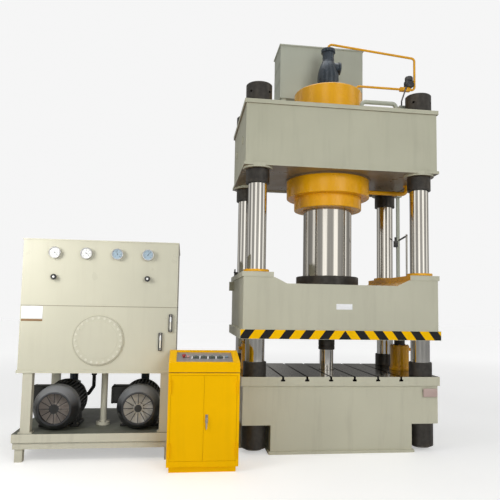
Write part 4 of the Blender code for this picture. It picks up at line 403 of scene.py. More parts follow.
def bolt_circle(bm, count, radius, centre, pose, size, material=0, socket=False, offset=0.5):
    """Adds a circle of bolts round a centre, in the plane that the pose looks out of."""
    x, y, z = centre
    for a, b in circle_of(count, radius, TAU * offset / count):
        if pose is FRONT or pose is REAR:
            at = (x + a, y, z + b)
        elif pose is RIGHT:
            at = (x, y + a, z + b)
        else:
            at = (x + a, y + b, z)
        bolt(bm, at, pose, size, material, socket)


def screw(bm, matrix, radius, shoulder, rim, material=0):
    """Adds a small domed screw head."""
    spin(bm, [(0, 0), (radius, 0), (shoulder, rim), (0, rim + 0.0004)], 12, matrix, material)


def bare_plate(bm, x0, x1, z0, z1, front, back, chamfer, *head):
    """Adds a plate without print on a front, with a screw in each corner."""
    block(bm, x0, x1, front, back, z0, z1, chamfer=chamfer)
    for x in (x0 + 0.008, x1 - 0.008):
        for z in (z0 + 0.008, z1 - 0.008):
            screw(bm, place((x, front, z), FRONT), *head)


def bend_route(corners, radius, steps=9):
    """A route through the corners, with an arc of the radius at each inner corner."""
    corners = [Vector(point) for point in corners]
    route = [corners[0]]
    for before, corner, after in zip(corners, corners[1:], corners[2:]):
        inward = (before - corner).normalized()
        outward = (after - corner).normalized()
        half = inward.angle(outward) / 2
        centre = corner + (inward + outward).normalized() * (radius / math.sin(half))
        start = corner + inward * (radius / math.tan(half)) - centre
        end = corner + outward * (radius / math.tan(half)) - centre
        axis = start.cross(end).normalized()
        turn = start.angle(end)
        route += [centre + Matrix.Rotation(turn * i / steps, 3, axis) @ start for i in range(steps + 1)]
    route.append(corners[-1])
    return route


def sweep(bm, corners, radius, bend, around=20):
    """Adds a round pipe with closed ends along a route with rounded corners."""
    route = bend_route(corners, bend)
    last = len(route) - 1
    tangents = [(route[min(i + 1, last)] - route[max(i - 1, 0)]).normalized() for i in range(last + 1)]
    side = tangents[0].orthogonal().normalized()
    rings = []
    for i, (point, tangent) in enumerate(zip(route, tangents)):
        if i:
            side = (tangents[i - 1].rotation_difference(tangent) @ side).normalized()
        side = (side - tangent * side.dot(tangent)).normalized()
        up = tangent.cross(side)
        rings.append([bm.verts.new(point + side * a + up * b) for a, b in circle_of(around, radius)])
    for low, high in zip(rings, rings[1:]):
        for k in range(around):
            bm.faces.new((low[k - 1], low[k], high[k], high[k - 1]))
    bm.faces.new(rings[0])
    bm.faces.new(rings[-1])


# Sizes of the press

TABLE_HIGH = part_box("bolster")[1]
TABLE_TOP = TABLE_HIGH.z
SLIDE_LOW, SLIDE_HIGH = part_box("slide")
CROWN_BOTTOM, CROWN_TOP = 2.94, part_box("crown")[1].z
CYLINDER_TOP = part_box("main_cylinder")[1].z
COLUMN_X, COLUMN_Y, SHAFT = 0.9, 0.5, 0.1


# Press frame

def column_places():
    for depth_name, y in (("front", -COLUMN_Y), ("rear", COLUMN_Y)):
        for side_name, x in (("left", -COLUMN_X), ("right", COLUMN_X)):
            yield f"{depth_name}_{side_name}", x, y


def make_columns():
    """Chromed columns with black nuts under the table, collars above it and below the crown."""
    for name, x, y in column_places():
        low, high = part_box(f"column_{name}")
        at = place((x, y, 0))
        bore = SHAFT - 0.004
        bm = bmesh.new()
        ring(bm, 0, SHAFT, low.z, high.z, 72, at, 0, 0.014, 0.014)
        ring(bm, bore, 0.125, 0.045, 0.2847, 72, at, 1, 0.004, 0.004)
        ring(bm, bore, 0.12, TABLE_TOP + 0.0005, TABLE_TOP + 0.142, 72, at, 1, 0.003, 0.006)
        ring(bm, bore, 0.125, 2.7697, 2.9197, 72, at, 1, 0.003, 0.006)
        plug = [(0, -0.01), (0.011, -0.01), (0.011, 0.0012), (0.006, 0.0012), (0.006, -0.004), (0, -0.004)]
        for height, radius in ((TABLE_TOP + 0.071, 0.118), (2.845, 0.123)):
            for turn in turns(4, 0.5):
                spin(bm, plug, 16, place((x, y, height)) @ turn @ RIGHT @ place((0, 0, radius)), 1)
        finish(bm, f"column_bar_{name}", [CHROME, BLACK], f"column_{name}")


def make_upper_nuts():
    """Round black nuts on the crown, drilled for a pin spanner."""
    for name, x, y in column_places():
        low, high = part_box(f"upper_nut_{name}")
        middle = place((0, 0, (low.z + high.z) / 2))
        bm = bmesh.new()
        ring(bm, 0.1003, 0.14, low.z, high.z, 72, lower=0.004, upper=0.006)
        drills = []
        for turn in turns(4, 0.5):
            drills.append(bmesh.new())
            ring(drills[-1], 0, 0.014, 0.112, 0.2, 20, middle @ turn @ RIGHT)
        bm = drilled(bm, drills)
        bmesh.ops.transform(bm, matrix=place((x, y, 0)), verts=bm.verts)
        finish(bm, f"crown_nut_{name}", BLACK, f"upper_nut_{name}")


def under_crown(face):
    """Whether a face of the crown looks down or belongs to the well round the cylinder; these faces get a darker
    copy of the crown's paint as painted shade.
    """
    x, y, z = face.center
    return face.normal.z < -0.9 or z < CROWN_BOTTOM + 0.12 and math.hypot(x, y) < 0.53


def beside_table(face):
    """Whether a face of the table is one of its painted sides or its underside."""
    centre, normal = face.center, face.normal
    side = abs(normal.y) > 0.9 and abs(abs(centre.y) - TABLE_HIGH.y) < 0.003
    end = abs(normal.x) > 0.9 and abs(abs(centre.x) - TABLE_HIGH.x) < 0.003
    return side or end or normal.z < -0.9


def make_frame_castings():
    """Crown, bed and table keep their solids; their edges are broken and their fittings added."""
    # The crown's faces that look down get the darker copy of its paint as painted shade.
    dress("crown", CROWN, 0.004, 2, CROWN_PAINTED_SHADE, under_crown)
    dress("bed", BED, 0.004)
    dress("bolster", TABLE, 0.0012, 1, BED, beside_table)
    bm = bmesh.new()
    for x in (-0.55, 0.0, 0.55):
        for y in (-0.58, 0.58):
            bolt(bm, (x, y, TABLE_TOP - 0.012), None, 0.014, socket=True)
    finish(bm, "table_bolts", ZINC)
    make_sling_bosses()
    bm = bmesh.new()
    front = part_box("bed")[0].y
    bare_plate(bm, 0.866, 1.019, 0.562, 0.647, front - 0.0022, front + 0.001, 0.0008, 0.0034, 0.0028, 0.0012)
    finish(bm, "bed_plate_bare", PINK_PLATE)


def make_sling_bosses():
    """Round lifting bosses on the crown's and the bed's sides, where slings go."""
    bm = bmesh.new()
    profile = [(0, -0.004), (0.046, -0.004), (0.046, 0.005), (0.042, 0.0085), (0.026, 0.0085), (0.022, 0.004),
               (0, 0.004)]
    for side, pose in ((-1, LEFT), (1, RIGHT)):
        for z, x in ((3.3, 1.048), (0.5, 1.032)):
            for y in (-0.3, 0.3):
                spin(bm, profile, 40, place((side * x, y, z), pose))
    finish(bm, "sling_bosses", CROWN)


def make_cylinder():
    """Main cylinder, gland, ram and clamp ring as smooth turned pieces with their bolts."""
    low, high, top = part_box("main_cylinder")[0].z, 2.9397, CYLINDER_TOP
    bm = bmesh.new()
    spin(bm, [(0.085, 3.88), (0.33, 3.88), (0.33, low), (0.474, low), (0.4785, low + 0.004),
              (0.48, low + 0.01), (0.48, high - 0.002), (0.478, high), (0.3998, high), (0.3998, top - 0.02),
              (0.3965, top - 0.008), (0.389, top), (0.085, top)], 128)
    bolt_circle(bm, 16, 0.3, (0, 0, top), None, 0.016, socket=True)
    finish(bm, "cylinder_body", AMBER, "main_cylinder")
    low, high = heights("cylinder_gland")
    bm = bmesh.new()
    spin(bm, [(0.281, low), (0.294, low), (0.2955, low + 0.006), (0.302, low + 0.006), (0.3035, low),
              (0.384, low), (0.389, low + 0.005), (0.39, low + 0.012), (0.39, 2.7394), (0.3295, 2.7394),
              (0.3295, high), (0.281, high)], 128)
    finish(bm, "gland_ring", AMBER, "cylinder_gland")
    low, high = heights("ram")
    step = 2.8017
    bm = bmesh.new()
    spin(bm, [(0, low), (0.279, low), (0.279, step), (0.3285, step), (0.3285, high), (0, high)], 128)
    finish(bm, "ram_bar", RAM, "ram", body="slide_assembly")
    low, high = heights("ram_clamp_ring")
    bm = bmesh.new()
    spin(bm, [(0.2803, low), (0.355, low), (0.357, low + 0.002), (0.357, high - 0.012), (0.354, high - 0.004),
              (0.346, high), (0.292, high), (0.284, high - 0.006), (0.2803, high - 0.006)], 128)
    bolt_circle(bm, 20, 0.324, (0, 0, high - 0.01), None, 0.014, socket=True, offset=0)
    finish(bm, "ram_foot_ring", BLACK, "ram_clamp_ring", body="slide_assembly")


# Slide

STRIPE_SLANT = 0.068
STRIPE_SIDES = ((-1, -0.022, 0.2085, 0.108), (1, 0.021, 0.2021, 0.1))
STRIPE_COUNT = 6


def yellow_ear(face):
    """Whether a face of the slide is an ear's slope or its short inner end."""
    x, z = abs(face.center.x), face.center.z
    slope = 0.59 < x < 0.73 and 1.714 < z < 1.79 and face.normal.z > 0.3
    return slope or 0.7 < x < 0.76 and z > 1.775 and abs(face.normal.x) > 0.9


def make_slide():
    """Slide with bush rings, painted ear slopes, edge stripes, a cam bracket and a bare plate."""
    dress("slide", SLIDE, 0.0035, 2, AMBER, yellow_ear)
    top = SLIDE_HIGH.z
    profile = [(0.1035, -0.02), (0.135, -0.02), (0.135, 0.0015), (0.132, 0.004), (0.109, 0.004),
               (0.1035, 0.001)]
    bm = bmesh.new()
    for _, x, y in column_places():
        spin(bm, profile, 72, place((x, y, top)))
        bolt_circle(bm, 6, 0.121, (x, y, top + 0.003), None, 0.006, socket=True)
    finish(bm, "slide_bush_rings", AMBER, body="slide_assembly")
    make_edge_stripes()
    make_slide_bracket()
    bm = bmesh.new()
    bare_plate(bm, -0.072, 0.1, 1.456, 1.514, -0.6345, -0.632, 0.0009, 0.0032, 0.0028, 0.0012)
    finish(bm, "slide_plate_bare", PLATE, sharp=40, body="slide_assembly")


def clipped(outline, limit):
    """The part of a flat outline whose first coordinate is below the limit."""
    kept = []
    for (x0, z0), (x1, z1) in zip(outline, outline[1:] + outline[:1]):
        if x0 <= limit:
            kept.append((x0, z0))
        if (x0 < limit) != (x1 < limit) and x0 != x1:
            share = (limit - x0) / (x1 - x0)
            kept.append((limit, z0 + (z1 - z0) * share))
    return kept


def make_edge_stripes():
    """Slanted black and yellow stripes on the front edge of the slide's bottom plate."""
    low, high = SLIDE_LOW.z + 0.003, 1.24
    half, depth, thick = 1.069, 0.64, 0.0012
    bm = bmesh.new()
    block(bm, -half, half, -depth - thick, -depth + 0.0002, low, high, material=1)
    for side, start, pitch, width in STRIPE_SIDES:
        for i in range(STRIPE_COUNT):
            inner = start + i * pitch
            outer = inner + width
            outline = [(inner, high), (outer, high), (outer + STRIPE_SLANT, low), (inner + STRIPE_SLANT, low)]
            outline = [(side * x, z) for x, z in clipped(outline, half)]
            extrude(bm, outline, depth + thick, depth + thick * 1.6, FRONT)
    finish(bm, "slide_edge_stripes", [HAZARD, INK], body="slide_assembly")


def make_slide_bracket():
    """Small black cam bracket with its screws at the left end of the rear ear."""
    x, y, z = -1.066, 0.16, SLIDE_HIGH.z - 0.024
    bm = bmesh.new()
    block(bm, x, x + 0.064, y - 0.045, y + 0.045, z - 0.001, z + 0.01, chamfer=0.002)
    block(bm, x, x + 0.01, y - 0.04, y + 0.04, z, z + 0.072, chamfer=0.002)
    block(bm, x, x + 0.044, y - 0.005, y + 0.005, z + 0.004, z + 0.04, chamfer=0.002)
    for dy in (-0.022, 0.022):
        bolt(bm, (x + 0.03, y + dy, z + 0.01), None, 0.009)
        bolt(bm, (x, y + dy, z + 0.034), LEFT, 0.008)
    finish(bm, "slide_cam_bracket", BLACK, body="slide_assembly")


# Prefill valve, tank and pipes on the crown

def make_prefill():
    """Prefill valve with its ribs and bolts, the oil tank behind it and the lines round them."""
    dress("prefill_tank", PREFILL, 0.004)
    low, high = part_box("prefill_valve")
    seat = CYLINDER_TOP + 0.0003
    base = place((0, 0, seat))
    bottom, top, side_height = low.z - seat, high.z - seat, seat + 0.345
    bm = bmesh.new()
    profile = [(0, bottom), (0.083, bottom), (0.083, 0), (0.163, 0), (0.167, 0.004), (0.167, 0.018),
               (0.163, 0.022), (0.112, 0.022), (0.116, 0.045)]
    for i in range(1, 20):
        swell = math.sin(math.pi * (0.25 + 0.585 * i / 20))
        profile.append((0.128 * swell, 0.045 + 0.385 * i / 20))
    profile += [(0.07, 0.436), (0.069, 0.445), (0.069, top - 0.052), (0.074, top - 0.044),
                (0.084, top - 0.04),
                (0.084, top - 0.004), (0.08, top), (0, top)]
    spin(bm, profile, 64, base)
    spin(bm, [(0, 0), (0.066, 0), (0.066, 0.118), (0.075, 0.122), (0.075, 0.142), (0.066, 0.149),
              (0.05, 0.152), (0, 0.152)], 40, place((0, 0, side_height), RIGHT))
    rib = [(0.075, 0.02), (0.15, 0.02), (0.15, 0.034), (0.112, 0.11), (0.075, 0.13)]
    for turn in turns(10):
        extrude(bm, rib, -0.006, 0.006, base @ turn @ FRONT)
    bolt_circle(bm, 10, 0.146, (0, 0, seat + 0.022), None, 0.014)
    bolt_circle(bm, 6, 0.052, (0.144, 0, side_height), RIGHT, 0.008, socket=True, offset=0)
    bolt_circle(bm, 8, 0.068, (0, 0, high.z), None, 0.0075, socket=True, offset=0)
    finish(bm, "prefill_valve_body", VALVE, "prefill_valve")

    bm = bmesh.new()
    for side in (-1, 1):
        for z in (4.3, 4.52):
            block(bm, side * 0.53, side * 0.5335, 0.32, 0.7, z - 0.004, z + 0.004, chamfer=0.0015)
    for x in (-0.47, 0.47):
        for y in (0.34, 0.582):
            block(bm, x - 0.055, x + 0.055, y - 0.045, y + 0.045, CROWN_TOP + 0.0005, CROWN_TOP + 0.012,
                  chamfer=0.002)
            for dx in (-0.042, 0.042):
                bolt(bm, (x + dx, y, CROWN_TOP + 0.012), None, 0.009)
    finish(bm, "prefill_tank_trim", PREFILL)
    make_pilot_line(high.z + 0.0003)
    make_solenoid()
    make_junction()
    make_crown_line()
    make_feed_line()


def make_pilot_line(end):
    """Thin yellow pilot line from the cylinder to the prefill valve, with its unions and its block."""
    x, y, start = 0.3, -0.15, CYLINDER_TOP + 0.004
    bm = bmesh.new()
    sweep(bm, [(x, y, start), (x, y, 4.08), (1.02, y, 4.08), (1.02, y, 4.47), (0, 0, end + 0.075),
               (0, 0, end + 0.006)], 0.0135, 0.042)
    union = [(0, 0), (0.026, 0), (0.026, 0.012), (0.021, 0.015), (0.021, 0.026), (0.018, 0.03), (0, 0.03)]
    for at in ((x, y, CYLINDER_TOP + 0.0003), (0, 0, end)):
        spin(bm, union, 6, place(at))
    block(bm, 0.836, 0.962, -0.1725, -0.1275, 4.058, 4.1025, chamfer=0.003)
    for x in (0.852, 0.946):
        for z in (4.07, 4.09):
            bolt(bm, (x, -0.1725, z), FRONT, 0.0055, socket=True)
    finish(bm, "pilot_line", AMBER, "pilot_pipe")


def make_solenoid():
    """Small dark solenoid on the pilot line's block, with the thin line that slants down from it."""
    bm = bmesh.new()
    block(bm, 0.9, 0.992, -0.19, -0.11, 4.106, 4.186, chamfer=0.01)
    spin(bm, [(0, 0), (0.044, 0), (0.047, 0.004), (0.047, 0.04), (0.04, 0.054), (0, 0.056)], 36,
         place((0.95, -0.15, 4.184)))
    spin(bm, [(0, 0), (0.028, 0), (0.028, 0.012), (0.022, 0.018), (0, 0.018)], 24,
         place((0.992, -0.15, 4.146), RIGHT))
    sweep(bm, [(0.912, -0.175, 4.11), (0.892, -0.19, 4.07), (0.78, -0.33, 3.86), (0.78, -0.33, 3.79)], 0.0085,
          0.02, 14)
    finish(bm, "pilot_solenoid", RUBBER)


def make_junction():
    """Box on the crown's top that the solenoid's line ends in."""
    foot = CROWN_TOP + 0.0003
    bm = bmesh.new()
    block(bm, 0.74, 0.85, -0.372, -0.265, foot, foot + 0.15, chamfer=0.004)
    block(bm, 0.725, 0.865, -0.385, -0.252, foot, foot + 0.012, chamfer=0.003)
    for x in (0.738, 0.852):
        for y in (-0.372, -0.265):
            bolt(bm, (x, y, foot + 0.012), None, 0.007)
    ring(bm, 0, 0.016, 0, 0.012, 6, place((0.78, -0.33, foot + 0.148)))
    finish(bm, "crown_junction_block", PREFILL)


def make_crown_line():
    """Cream line on the crown's top, between two bolted flanges."""
    y, floor, top = -0.45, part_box("crown_pipe")[0].z, 3.77
    ends = (0.26, 0.66)
    bm = bmesh.new()
    sweep(bm, [(ends[0], y, floor + 0.007), (ends[0], y, top), (ends[1], y, top),
               (ends[1], y, floor + 0.007)], 0.0235, 0.048, 28)
    flange = [(0, 0), (0.04, 0), (0.042, 0.002), (0.042, 0.012), (0.04, 0.014), (0.029, 0.014),
              (0.026, 0.024), (0, 0.024)]
    for x in ends:
        spin(bm, flange, 40, place((x, y, floor)))
        bolt_circle(bm, 4, 0.034, (x, y, floor + 0.014), None, 0.0055)
    finish(bm, "crown_line", PREFILL, "crown_pipe")


def make_feed_line():
    """Yellow feed line from the cylinder's flange up to the crown's underside."""
    height, end, top = 2.8497, 0.975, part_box("feed_pipe")[1].z
    bm = bmesh.new()
    sweep(bm, [(0.494, 0, height), (end, 0, height), (end, 0, top - 0.007)], 0.0245, 0.06, 28)
    spin(bm, [(0, 0), (0.038, 0), (0.038, 0.016), (0.034, 0.018), (0.034, 0.028), (0.03, 0.03), (0, 0.03)], 6,
         place((0.4806, 0, height), RIGHT))
    spin(bm, [(0, -0.014), (0.036, -0.014), (0.038, -0.012), (0.038, -0.001), (0, -0.001)], 32,
         place((end, 0, top)))
    bolt_circle(bm, 4, 0.0315, (end, 0, top - 0.014), DOWN, 0.005)
    ring(bm, 0, 0.031, 0, 0.038, 6, place((0.8, 0, height), RIGHT), 0, 0.002, 0.002)
    finish(bm, "feed_line", AMBER, "feed_pipe")


# Ejector, cushions and position switch

def make_ejector():
    """Chromed ejector rod with its black bolted head."""
    low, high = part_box("ejector_rod")
    head = high.z - 0.12
    bm = bmesh.new()
    spin(bm, [(0, low.z), (0.111, low.z), (0.111, low.z + 0.05), (0.0785, low.z + 0.05),
              (0.0785, head + 0.001), (0, head + 0.001)], 72)
    spin(bm, [(0, 0), (0.09, 0), (0.0927, 0.003), (0.0927, 0.035), (0.0905, 0.038), (0.0905, 0.044),
              (0.0927, 0.047), (0.0927, 0.114), (0.087, 0.12), (0, 0.12)], 72, place((0, 0, head)), 1)
    bolt_circle(bm, 6, 0.055, (0, 0, high.z - 0.01), None, 0.0105, 1, socket=True, offset=0)
    finish(bm, "ejector_plunger", [CHROME, BLACK], "ejector_rod", body="ejector")
    dress("ejector_cylinder", BLACK, 0.001, 1)


def make_cushions():
    """Yellow cushion cylinders beside the columns, with ribbed rims, bolts and black plungers."""
    for side_name, side, pose in (("left", -1, LEFT), ("right", 1, RIGHT)):
        x = side * 0.88
        at = place((x, 0, 0))
        low, high = heights(f"damper_barrel_{side_name}")
        bm = bmesh.new()
        spin(bm, [(0, low), (0.115, low), (0.118, low + 0.003), (0.118, low + 0.026), (0.114, low + 0.03),
                  (0.106, low + 0.03), (0.106, high - 0.032), (0.11, high - 0.03), (0.11, high - 0.005),
                  (0.105, high), (0.0632, high), (0.0632, low + 0.04), (0, low + 0.04)], 80, at)
        bolt_circle(bm, 8, 0.088, (x, 0, high), None, 0.009, socket=True)
        spin(bm, [(0, 0.085), (0.02, 0.085), (0.02, 0.122), (0.018, 0.124), (0.018, 0.134), (0.015, 0.1355),
                  (0, 0.1355)], 6, place((x, 0, low + 0.235), pose))
        finish(bm, f"cushion_barrel_{side_name}", AMBER, f"damper_barrel_{side_name}")
        low, high = heights(f"damper_plunger_{side_name}")
        bm = bmesh.new()
        spin(bm, [(0, low), (0.0615, low), (0.0615, high - 0.02), (0.068, high - 0.02), (0.07, high - 0.018),
                  (0.07, high - 0.005), (0.064, high), (0, high)], 72, at)
        finish(bm, f"cushion_plunger_{side_name}", BLACK, f"damper_plunger_{side_name}",
               body=f"plunger_{side_name}")


def beside_switch(face):
    """Whether a face of the position switch belongs to the bar that carries it."""
    return not 2.286 < face.center.z < 2.424 or face.area > 0.02


def make_switch_gear():
    """Position switch on its bar, and the bright trip rod with its clamps and its dog."""
    dress("limit_switch", RUBBER, 0.0015, 2, PREFILL, beside_switch)
    low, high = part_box("trip_rod")
    bm = bmesh.new()
    spin(bm, [(0, low.z), (0.0105, low.z), (0.012, low.z + 0.0015), (0.012, high.z - 0.004), (0.009, high.z),
              (0, high.z)], 28, place((1.104, 0.29, 0)))
    for z in (1.44, 1.7):
        block(bm, 1.0453, 1.128, 0.265, 0.315, z - 0.025, z + 0.025, material=1, chamfer=0.003)
        for dz in (-0.012, 0.012):
            bolt(bm, (1.11, 0.265, z + dz), FRONT, 0.006, 2)
    dog = [(0.278, 2.382), (0.53, 2.352), (0.53, 2.368), (0.278, 2.398)]
    extrude(bm, [(-z, y) for y, z in dog], 1.096, 1.112, RIGHT, 1)
    finish(bm, "trip_rod_bright", [STEEL, BLACK, ZINC], "trip_rod", body="slide_assembly")


# Oil power unit

TANK_LOW, TANK_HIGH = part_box("oil_tank")
TANK_FRONT = TANK_LOW.y + 0.01
MOTOR_AXIS = 0.474


def make_tank():
    """Tank and valve cover with a painted shadow line along the seam between them, a bare placard and the bolted
    manhole with a painted shadow ring on its lid.
    """
    dress("oil_tank", TANK, 0.006, 3)
    dress("valve_enclosure", TANK, 0.006, 3)
    front, seam = TANK_FRONT, TANK_HIGH.z
    left, right = (corner.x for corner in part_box("valve_enclosure"))
    bm = bmesh.new()
    # Thin dark strips along the seam: painted shadow where the valve cover meets the tank.
    for x0, x1, y0, y1 in ((left + 0.008, right - 0.008, front - 0.0012, front + 0.001),
                           (left + 0.0048, left + 0.0065, -0.7, 0.43),
                           (right - 0.0065, right - 0.0048, -0.7, 0.43)):
        block(bm, x0, x1, y0, y1, seam - 0.003, seam + 0.003)
    finish(bm, "tank_joint_painted_shadow", PAINTED_SEAM_SHADOW)
    bm = bmesh.new()
    bare_plate(bm, -3.156, -2.964, 1.322, 1.44, front - 0.0035, front - 0.0002, 0.001, 0.0036, 0.003, 0.0014)
    block(bm, -3.156, -2.964, front - 0.003, front - 0.0002, 1.3, 1.318, material=1, chamfer=0.0008)
    finish(bm, "tank_plate_bare", [PLATE, BROWN])

    x, z = -2.443, 1.125
    bm = bmesh.new()
    spin(bm, [(0, 0), (0.24, 0), (0.24, 0.0085), (0.2355, 0.0135), (0.228, 0.014), (0.186, 0.014),
              (0.184, 0.0125), (0.182, 0.0125), (0.18, 0.014), (0, 0.0142)], 96, place((x, front - 0.0003, z),
                                                                                       FRONT))
    finish(bm, "manhole_lid", TANK, "manhole_cover")
    bm = bmesh.new()
    bolt_circle(bm, 24, 0.212, (x, front - 0.0142, z), FRONT, 0.0105, offset=0)
    finish(bm, "manhole_bolts", COVER_BOLT)
    # A dark ring on the lid's face: painted shadow of the lid's thick edge.
    bm = bmesh.new()
    ring(bm, 0.229, 0.2325, 0, 0.0008, 96, place((x, front - 0.014, z), FRONT))
    finish(bm, "manhole_rim_painted_shadow", PAINTED_SEAM_SHADOW)


def make_gauges():
    """Pressure gauges with plated rims, dials with generic marks and thin needles."""
    rim = [(0, 0), (0.051, 0), (0.051, 0.022), (0.0535, 0.024), (0.055, 0.028), (0.055, 0.04),
           (0.0535, 0.0435), (0.0505, 0.044), (0.047, 0.0425), (0.047, 0.0372), (0, 0.0372)]
    needle = [(-0.012, -0.0016), (0.0, -0.002), (0.036, -0.0004), (0.036, 0.0004), (0.0, 0.002),
              (-0.012, 0.0016)]
    # The four gauges are alike; the first two get white dials, which are painted glare, and the last two show the
    # blue dial.
    for i, (heading, dial) in enumerate(((-2.25, WHITE_CAP_AND_DIAL_GLARE), (-2.1, WHITE_CAP_AND_DIAL_GLARE), (0.35, DIAL_BLUE), (-0.6, DIAL_BLUE))):
        low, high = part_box(f"gauge_{i + 1}")
        at = place(((low.x + high.x) / 2, high.y, (low.z + high.z) / 2), FRONT)
        bm = bmesh.new()
        spin(bm, rim, 64, at)
        ring(bm, 0, 0.0468, 0.037, 0.0378, 48, at, 1)
        for k in range(31):
            inner, width = (0.0385, 0.0006) if k % 5 else (0.035, 0.0011)
            turn = Matrix.Rotation(math.radians(225 - k * 9), 4, "Z")
            block(bm, inner, 0.0435, -width, width, 0.0377, 0.0381, at @ turn, 2)
        for k in range(7):
            angle = math.radians(225 - k * 45)
            x, y = 0.0285 * math.cos(angle), 0.0285 * math.sin(angle)
            block(bm, x - 0.0022, x + 0.0022, y - 0.003, y + 0.003, 0.0377, 0.038, at, 2)
        extrude(bm, needle, 0.0392, 0.0399, at @ Matrix.Rotation(heading + math.radians(90), 4, "Z"), 2)
        spin(bm, [(0, 0.0377), (0.0045, 0.0377), (0.0045, 0.0405), (0.003, 0.0412), (0, 0.0412)], 20, at, 2)
        finish(bm, f"pressure_gauge_{i + 1}", [BEZEL, dial, RUBBER], f"gauge_{i + 1}")


def make_knobs():
    """Fluted shut-off knobs on their stems, with the glands behind them."""
    for side_name, x in (("left", -2.872), ("right", -1.999)):
        low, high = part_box(f"valve_knob_{side_name}")
        outline = []
        for angle in (TAU * i / 96 for i in range(96)):
            radius = 0.0278 * (0.955 + 0.045 * math.cos(12 * angle))
            outline.append((radius * math.cos(angle), radius * math.sin(angle)))
        at = place((x, high.y, (low.z + high.z) / 2), FRONT)
        bm = bmesh.new()
        extrude(bm, outline, 0.022, 0.0445, at)
        spin(bm, [(0, 0.044), (0.0225, 0.044), (0.0215, 0.0462), (0.015, 0.0462), (0.014, 0.0468),
                  (0, 0.0468)], 40, at)
        spin(bm, [(0, 0.0466), (0.0105, 0.0466), (0.01, 0.0477), (0, 0.0479)], 32, at, 1)
        ring(bm, 0, 0.0088, 0.0002, 0.023, 28, at, 2)
        finish(bm, f"shutoff_knob_{side_name}", [RUBBER, WHITE_CAP_AND_DIAL_GLARE, STEEL],
               f"valve_knob_{side_name}", body=f"knob_{side_name}")
        bm = bmesh.new()
        spin(bm, [(0.0098, 0), (0.019, 0), (0.019, 0.01), (0.0165, 0.0125), (0.0098, 0.0125)], 6, at)
        finish(bm, f"knob_gland_{side_name}", STEEL)


def make_level_gauges():
    """Level gauges: a dark frame with two heads and a sight glass that is a little over half full."""
    for name in ("upper", "lower"):
        low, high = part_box(f"level_gauge_{name}")
        x, z, half = (low.x + high.x) / 2, (low.z + high.z) / 2, (high.z - low.z) / 2
        front, back = low.y, high.y
        bm = bmesh.new()
        block(bm, low.x, high.x, front + 0.006, back, low.z, high.z, chamfer=0.002)
        for side in (-half, half):
            block(bm, low.x, high.x, front, back, z + side, z + side * 0.72, chamfer=0.0025)
            spin(bm, [(0, 0), (0.0085, 0), (0.0085, 0.003), (0.007, 0.0042), (0, 0.0042)], 20,
                 place((x, front + 0.002, z + side * 0.86), FRONT), 1)
        for edge in (low.x, high.x - 0.006):
            block(bm, edge, edge + 0.006, front + 0.002, back, low.z + 0.01, high.z - 0.01)
        level, glass = z + half * 0.15, place((x, front + 0.0112, 0))
        ring(bm, 0, 0.0104, z - half * 0.74, level, 24, glass, 3)
        ring(bm, 0, 0.0106, level, z + half * 0.74, 24, glass, 2)
        finish(bm, f"sight_gauge_{name}", [RUBBER, STEEL, SIGHT, SIGHT_OIL],
               f"level_gauge_{name}")


def on_deck(face):
    """Whether a face of the stand is its deck."""
    return face.normal.z > 0.9 and abs(face.center.z - 0.258) < 0.004


def make_stand():
    """Stand with its dark deck, the bolts at its posts, a painted shadow line at the step in its rail, and the
    drain pipe.
    """
    dress("tank_stand", STAND, 0.0025, 2, DECK, on_deck)
    bm = bmesh.new()
    for x in (-3.072, -1.802):
        for y in (-0.692, 0.422):
            for dx in (-0.0525, 0.0525):
                bolt(bm, (x + dx, y, 0.27), None, 0.0095)
    finish(bm, "stand_bolts", ZINC)
    low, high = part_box("tank_stand")
    # A thin dark strip at the step between the upper and the lower rail: painted shadow.
    bm = bmesh.new()
    block(bm, low.x + 0.01, high.x - 0.01, low.y + 0.0022, low.y + 0.0045, 0.177, 0.181)
    finish(bm, "stand_step_painted_shadow", RAIL_STEP_SHADOW)
    low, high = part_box("drain_pipe")
    x, y, top = -2.418, -0.36, high.z - low.z
    bm = bmesh.new()
    spin(bm, [(0, 0), (0.066, 0), (0.068, 0.002), (0.068, 0.032), (0.066, 0.034), (0.04, 0.034),
              (0.032, 0.046), (0.032, top - 0.03), (0.036, top - 0.028), (0.036, top), (0, top)], 56,
         place((x, y, low.z)))
    bolt_circle(bm, 6, 0.052, (x, y, low.z + 0.034), None, 0.0085, 1, offset=0)
    finish(bm, "suction_post", [STAND, ZINC], "drain_pipe")


def make_motors():
    """Both motors, from the fan guard in front to the pump behind."""
    for side_name, x, dark_hub in (("left", -2.83, False), ("right", -2.05, True)):
        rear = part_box(f"motor_{side_name}")[1].y
        at = place((x, rear, MOTOR_AXIS), FRONT)
        make_motor_housing(side_name, at)
        make_cowl(side_name, at, 2 if dark_hub else 0)
        # The right fan's pale disc is painted light; the left fan keeps the brown disc.
        make_fan(side_name, at, FAN_DISC_PAINTED_LIGHT if dark_hub else FAN_BROWN)
        make_pump(side_name, x)


